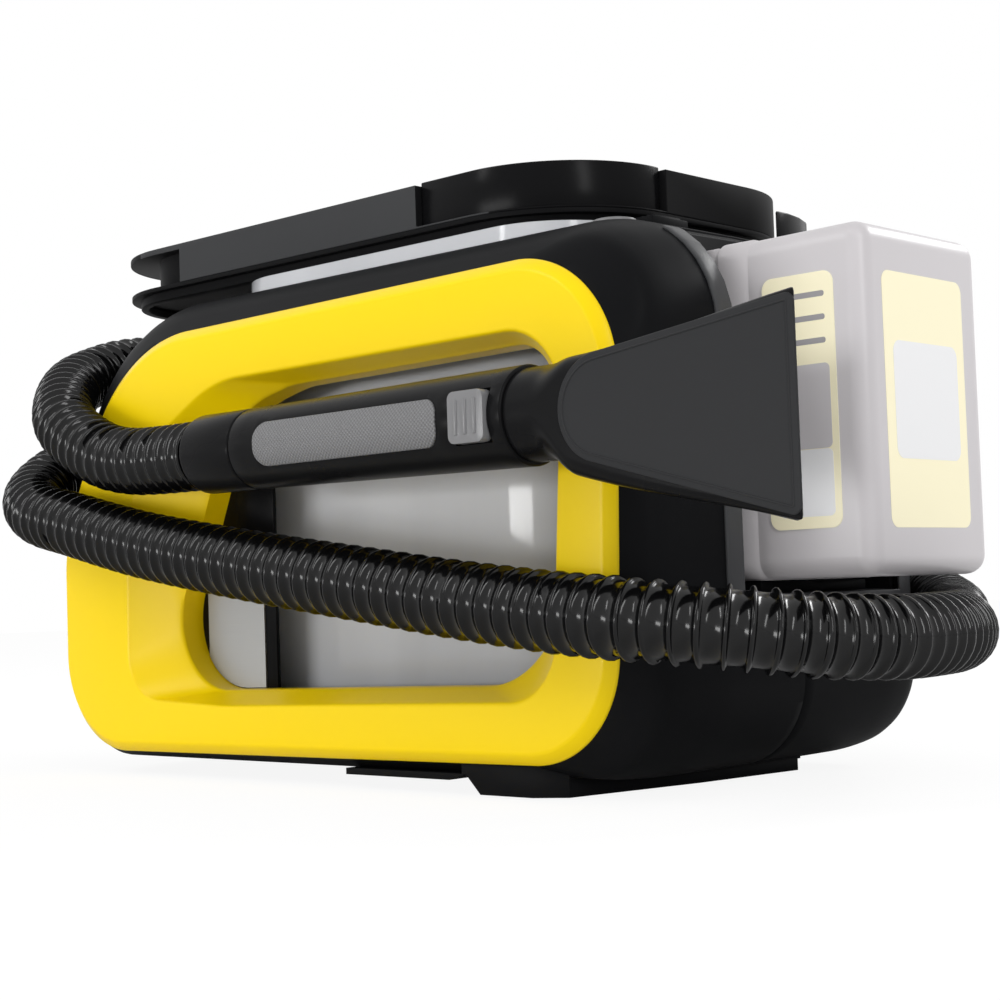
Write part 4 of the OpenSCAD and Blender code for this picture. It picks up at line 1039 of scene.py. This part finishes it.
# ---- hand tool ----
@dataclass
class HandTool:
    """Cuff, handle, grip insert, spray button and flat nozzle, in millimetres."""

    axis_y: float = -124.5
    axis_z: float = 145.5
    neck: float = 158.5
    mouth: float = 289.0
    throat_r: float = 17.6
    low: float = 100.05
    high: float = 174.55
    slant: float = 11.0
    depth: float = 13.0

    def nozzle(self, shop: Workshop) -> None:
        """The nozzle's body, hollow at its mouth."""
        front = self.axis_y - self.throat_r
        r = self.throat_r
        z, y = self.axis_z, self.axis_y
        # station, lowest and highest z, front and back y, corner radius
        rows = ((z - r, z + r, y - r, y + r, r - 0.2), (z - r, z + r, front, y + r, r - 0.4),
                (z - 25.0, z + 18.0, front, y + 15.0, 7.0),
                (self.low, self.high, front, front + self.depth, 2.2))
        stations = (self.neck, self.neck + 12.0, self.neck + 31.0, self.mouth - 2.0)

        def loop(x: float, inset: float) -> list[Point]:
            """One loop of the skin."""
            z0, z1, y0, y1, corner = eased(stations, rows, x)
            z0, z1, y0, y1 = z0 + inset, z1 - inset, y0 + inset, y1 - inset
            corner = max(0.6, min(corner - inset, (z1 - z0) / 2 - 0.05, (y1 - y0) / 2 - 0.05))
            discs = [(a, b, corner) for a in (y0 + corner, y1 - corner) for b in (z0 + corner, z1 - corner)]
            share = max(0.0, min(1.0, (x - (self.mouth - 42.0)) / 40.0)) * self.slant / self.depth
            return [((x - share * max(0.0, a - front)) * MM, a * MM, b * MM)
                    for a, b in outline(discs, 0.0, 96)]

        knee = self.neck + 40.0
        xs = spaced(self.neck + 0.6, knee, 24) + spaced(knee, self.mouth - 3.0, 10)[1:]
        rings = [loop(self.neck, 0.25)] + [loop(x, 0.0) for x in xs]
        rings += [loop(self.mouth - 2.3, 0.25), loop(self.mouth - 2.0, 0.9), loop(self.mouth - 2.0, 2.0),
                  loop(self.mouth - 2.6, 2.5)]
        rings += [loop(x, 2.5) for x in reversed(spaced(self.neck + 60.0, self.mouth - 8.0, 6))]
        bm = bmesh.new()
        loft(bm, rings)
        obj = finish_mesh("nozzle_body_dressed", bm, 40.0)
        shop.place(obj, "nozzle_body", TOOL_BLACK, replaces=("nozzle_body",))

    def face(self, shop: Workshop) -> None:
        """The grey face plate with its stepped rim."""
        n, m = self.neck, self.mouth
        discs = [(n + 46.5, self.axis_z - 2, 19.4), (m - 5.6, self.high - 5.2, 3.4),
                 (m - 5.6, self.low + 5.1, 3.4)]
        front = self.axis_y - self.throat_r
        steps = ((0.0, -0.1), (0.0, 0.3), (0.3, 0.6), (2.2, 0.9), (2.5, 1.15), (2.8, 1.15), (3.1, 0.8))
        bm = bmesh.new()
        loft(bm, [[(x * MM, (front - out) * MM, z * MM) for x, z in outline(discs, -inset)]
                  for inset, out in steps])
        obj = finish_mesh("nozzle_face_dressed", bm, 25.0)
        shop.place(obj, "nozzle_face", FACE_GREY, replaces=("nozzle_face",))

    def build(self, shop: Workshop) -> None:
        """Makes the hand tool.

        Args:
            shop: where it is put.
        """
        self.nozzle(shop)
        self.face(shop)
        shop.softened("hose_cuff", 0.6, TOOL_BLACK)
        shop.softened("tool_handle", 0.6, TOOL_BLACK)
        shop.softened("grip_insert", 0.3, KNURL)
        shop.softened("spray_button", 0.5, BUTTON_GREY)
        shop.softened("spray_jet", 0.3)


# ---- tank ----
@dataclass
class Tank:
    """The clear tank with its lid, ring handle and fittings, in millimetres."""

    front: float = -58.0
    low: float = 27.0
    high: float = 232.0
    rib: tuple[float, float] = (50.4, 62.4)
    # y of two planes; the ring's faces outside them that look along Y are its lighter band
    sides: tuple[float, float] = (-58.5, 123.5)
    # the plate that covers the cut in the pour flap's solid
    flap: tuple[float, float, float, float] = (-153.9, -72.1, -45.9, 15.9)
    flap_low: float = 261.9
    flap_thick: float = 3.4

    def build(self, shop: Workshop) -> None:
        """Makes the tank.

        Args:
            shop: where it is put.
        """
        shop.softened("tank_shell", 1.5, TANK_CLEAR)
        ring_piece = shop.softened("handle_ring", 1.5, LID_BLACK, STRIP_GREY)
        for face in ring_piece.data.polygons:
            if abs(face.normal.y) > 0.6 and not self.sides[0] < face.center.y / MM < self.sides[1]:
                face.material_index = 1
        shop.softened("corner_grip", 1.2, GLOSS_BLACK)
        shop.softened("tank_lid", 0.8, LID_BLACK)
        shop.softened("pour_flap", 0.8)
        plate = [(x * MM, y * MM, self.flap_low * MM) for x, y in round_rect(*self.flap, 5.0)]
        shop.place(prism("pour_flap_plate", plate, (0.0, 0.0, self.flap_thick * MM)), "pour_flap")
        shop.softened("fill_plug", 0.6)
        bar = block("tank_rib", (self.rib[0], self.front + 2.6, self.low + 4),
                    (self.rib[1], self.front + 4.4, self.high))
        shop.place(bar, "tank_shell", TANK_RIB)


# ---- battery ----
class Side(Enum):
    """The battery's faces that carry panels."""

    FRONT = "front"
    RIGHT = "right"


@dataclass
class Battery:
    """The slide-in pack with its bare panels, in millimetres."""

    low: Point = (174.5, -29.5, 81.8)
    high: Point = (241.5, 58.5, 217.8)
    corner: float = 8.0
    # name, face, places across and up, corner radius, how far it stands out, finish
    panels: tuple[tuple, ...] = (
        ("front_panel", Side.FRONT, (195.3, 228.2, 101.0, 199.6), 4.5, 0.12, CREAM),
        ("side_panel", Side.RIGHT, (-16.6, 42.6, 100.2, 199.0), 4.5, 0.12, CREAM),
        ("side_inset", Side.RIGHT, (-10.4, 37.0, 126.8, 172.4), 4.5, 0.2, PANEL_WHITE),
        ("front_field", Side.FRONT, (200.0, 225.2, 131.6, 164.2), 2.2, 0.2, CASE_GREY),
        ("front_white", Side.FRONT, (200.0, 225.2, 105.6, 131.4), 2.2, 0.2, PANEL_WHITE))
    groove: float = 188.2
    groove_half: float = 0.6
    slots: int = 3
    slot_top: float = 191.0
    slot_pitch: float = 9.0
    slot_half: float = 1.1

    def case(self, shop: Workshop) -> None:
        """The rounded case."""
        bm = bmesh.new()
        bmesh.ops.create_cube(bm, size=1.0)
        size = [b - a for a, b in zip(self.low, self.high)]
        middle = [(a + b) / 2 for a, b in zip(self.low, self.high)]
        bmesh.ops.scale(bm, vec=[s * MM for s in size], verts=bm.verts)
        bmesh.ops.translate(bm, vec=[m * MM for m in middle], verts=bm.verts)
        far = self.high[0] * MM - 1e-5
        edges = [e for e in bm.edges if any(v.co.x > far for v in e.verts)]
        bmesh.ops.bevel(bm, geom=edges, offset=self.corner * MM, offset_type="OFFSET", segments=8,
                        profile=0.5, affect="EDGES", clamp_overlap=True, material=-1)
        near = [f for f in bm.faces if all(v.co.x < self.low[0] * MM + 1e-5 for v in f.verts)]
        bmesh.ops.inset_region(bm, faces=near, thickness=0.003, depth=-0.002)
        obj = finish_mesh("battery_case_dressed", bm, 50.0)
        groove, half = self.groove * MM, self.groove_half * MM
        for plane in (groove - half, groove, groove + half):
            cut = bmesh.new()
            cut.from_mesh(obj.data)
            bmesh.ops.bisect_plane(cut, geom=cut.verts[:] + cut.edges[:] + cut.faces[:],
                                   plane_co=(plane, 0, 0), plane_no=(1, 0, 0))
            if plane == groove:
                for v in cut.verts:
                    if abs(v.co.x - groove) < 1e-6:
                        v.co.y = middle[1] * MM + (v.co.y - middle[1] * MM) * 0.984
                        v.co.z = middle[2] * MM + (v.co.z - middle[2] * MM) * 0.99
            cut.to_mesh(obj.data)
            cut.free()
        shop.place(obj, "battery_case", CASE_GREY, replaces=("battery_case",))

    def panel(self, shop: Workshop, name: str, side: Side, box: tuple[float, float, float, float],
              r: float, out: float, finish: object) -> None:
        """A thin panel on the front or the right face.

        Args:
            shop: where it is put.
            name: the piece's name.
            side: the face it is on.
            box: lowest and highest place across, then lowest and highest height.
            r: corner radius.
            out: how far it stands out of the face.
            finish: its finish.
        """
        points = round_rect(*box, r)
        if side is Side.FRONT:
            base = self.low[1] + 0.2
            corners = [(x * MM, base * MM, z * MM) for x, z in points]
            along = (0.0, -(out + 0.2) * MM, 0.0)
        else:
            base = self.high[0] - 0.2
            corners = [(base * MM, y * MM, z * MM) for y, z in points]
            along = ((out + 0.2) * MM, 0.0, 0.0)
        shop.place(prism(name, corners, along), "battery_case", finish)

    def build(self, shop: Workshop) -> None:
        """Makes the battery.

        Args:
            shop: where it is put.
        """
        self.case(shop)
        shop.softened("battery_base", 0.8)
        for name, side, box, r, out, finish in self.panels:
            self.panel(shop, f"battery_{name}", side, box, r, out, finish)
        for k in range(self.slots):
            z = self.slot_top - self.slot_pitch * k
            self.panel(shop, f"battery_slot_{k}", Side.FRONT,
                       (200.5, 224.0, z - self.slot_half, z + self.slot_half), 1.0, 0.18, SLOT_GREY)


# ---- dressing of the CAD's own pieces ----
def dress_nodes(frame: dict, paint: Paint) -> None:
    """Puts a finish on every CAD node from its material slot.

    Args:
        frame: the loaded frame.
        paint: the finishes.
    """
    slots = {s["node"]: s["material_slot"] for s in frame["record"]["subparts"]}
    for name, obj in frame["nodes"].items():
        material = paint.get(NODE_FINISH[slots[name]])
        if not obj.material_slots:
            obj.data.materials.append(material)
        for slot in obj.material_slots:
            slot.material = material


def main() -> None:
    """Builds every piece in order."""
    logging.basicConfig(level=logging.INFO, format="%(name)s: %(message)s")
    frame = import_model()
    paint = Paint()
    Studio().build()
    dress_nodes(frame, paint)
    shop = Workshop(frame, paint)
    for maker in (Hose(), Housing(), HandTool(), Tank(), Battery()):
        maker.build(shop)


if __name__ == "__main__":
    main()
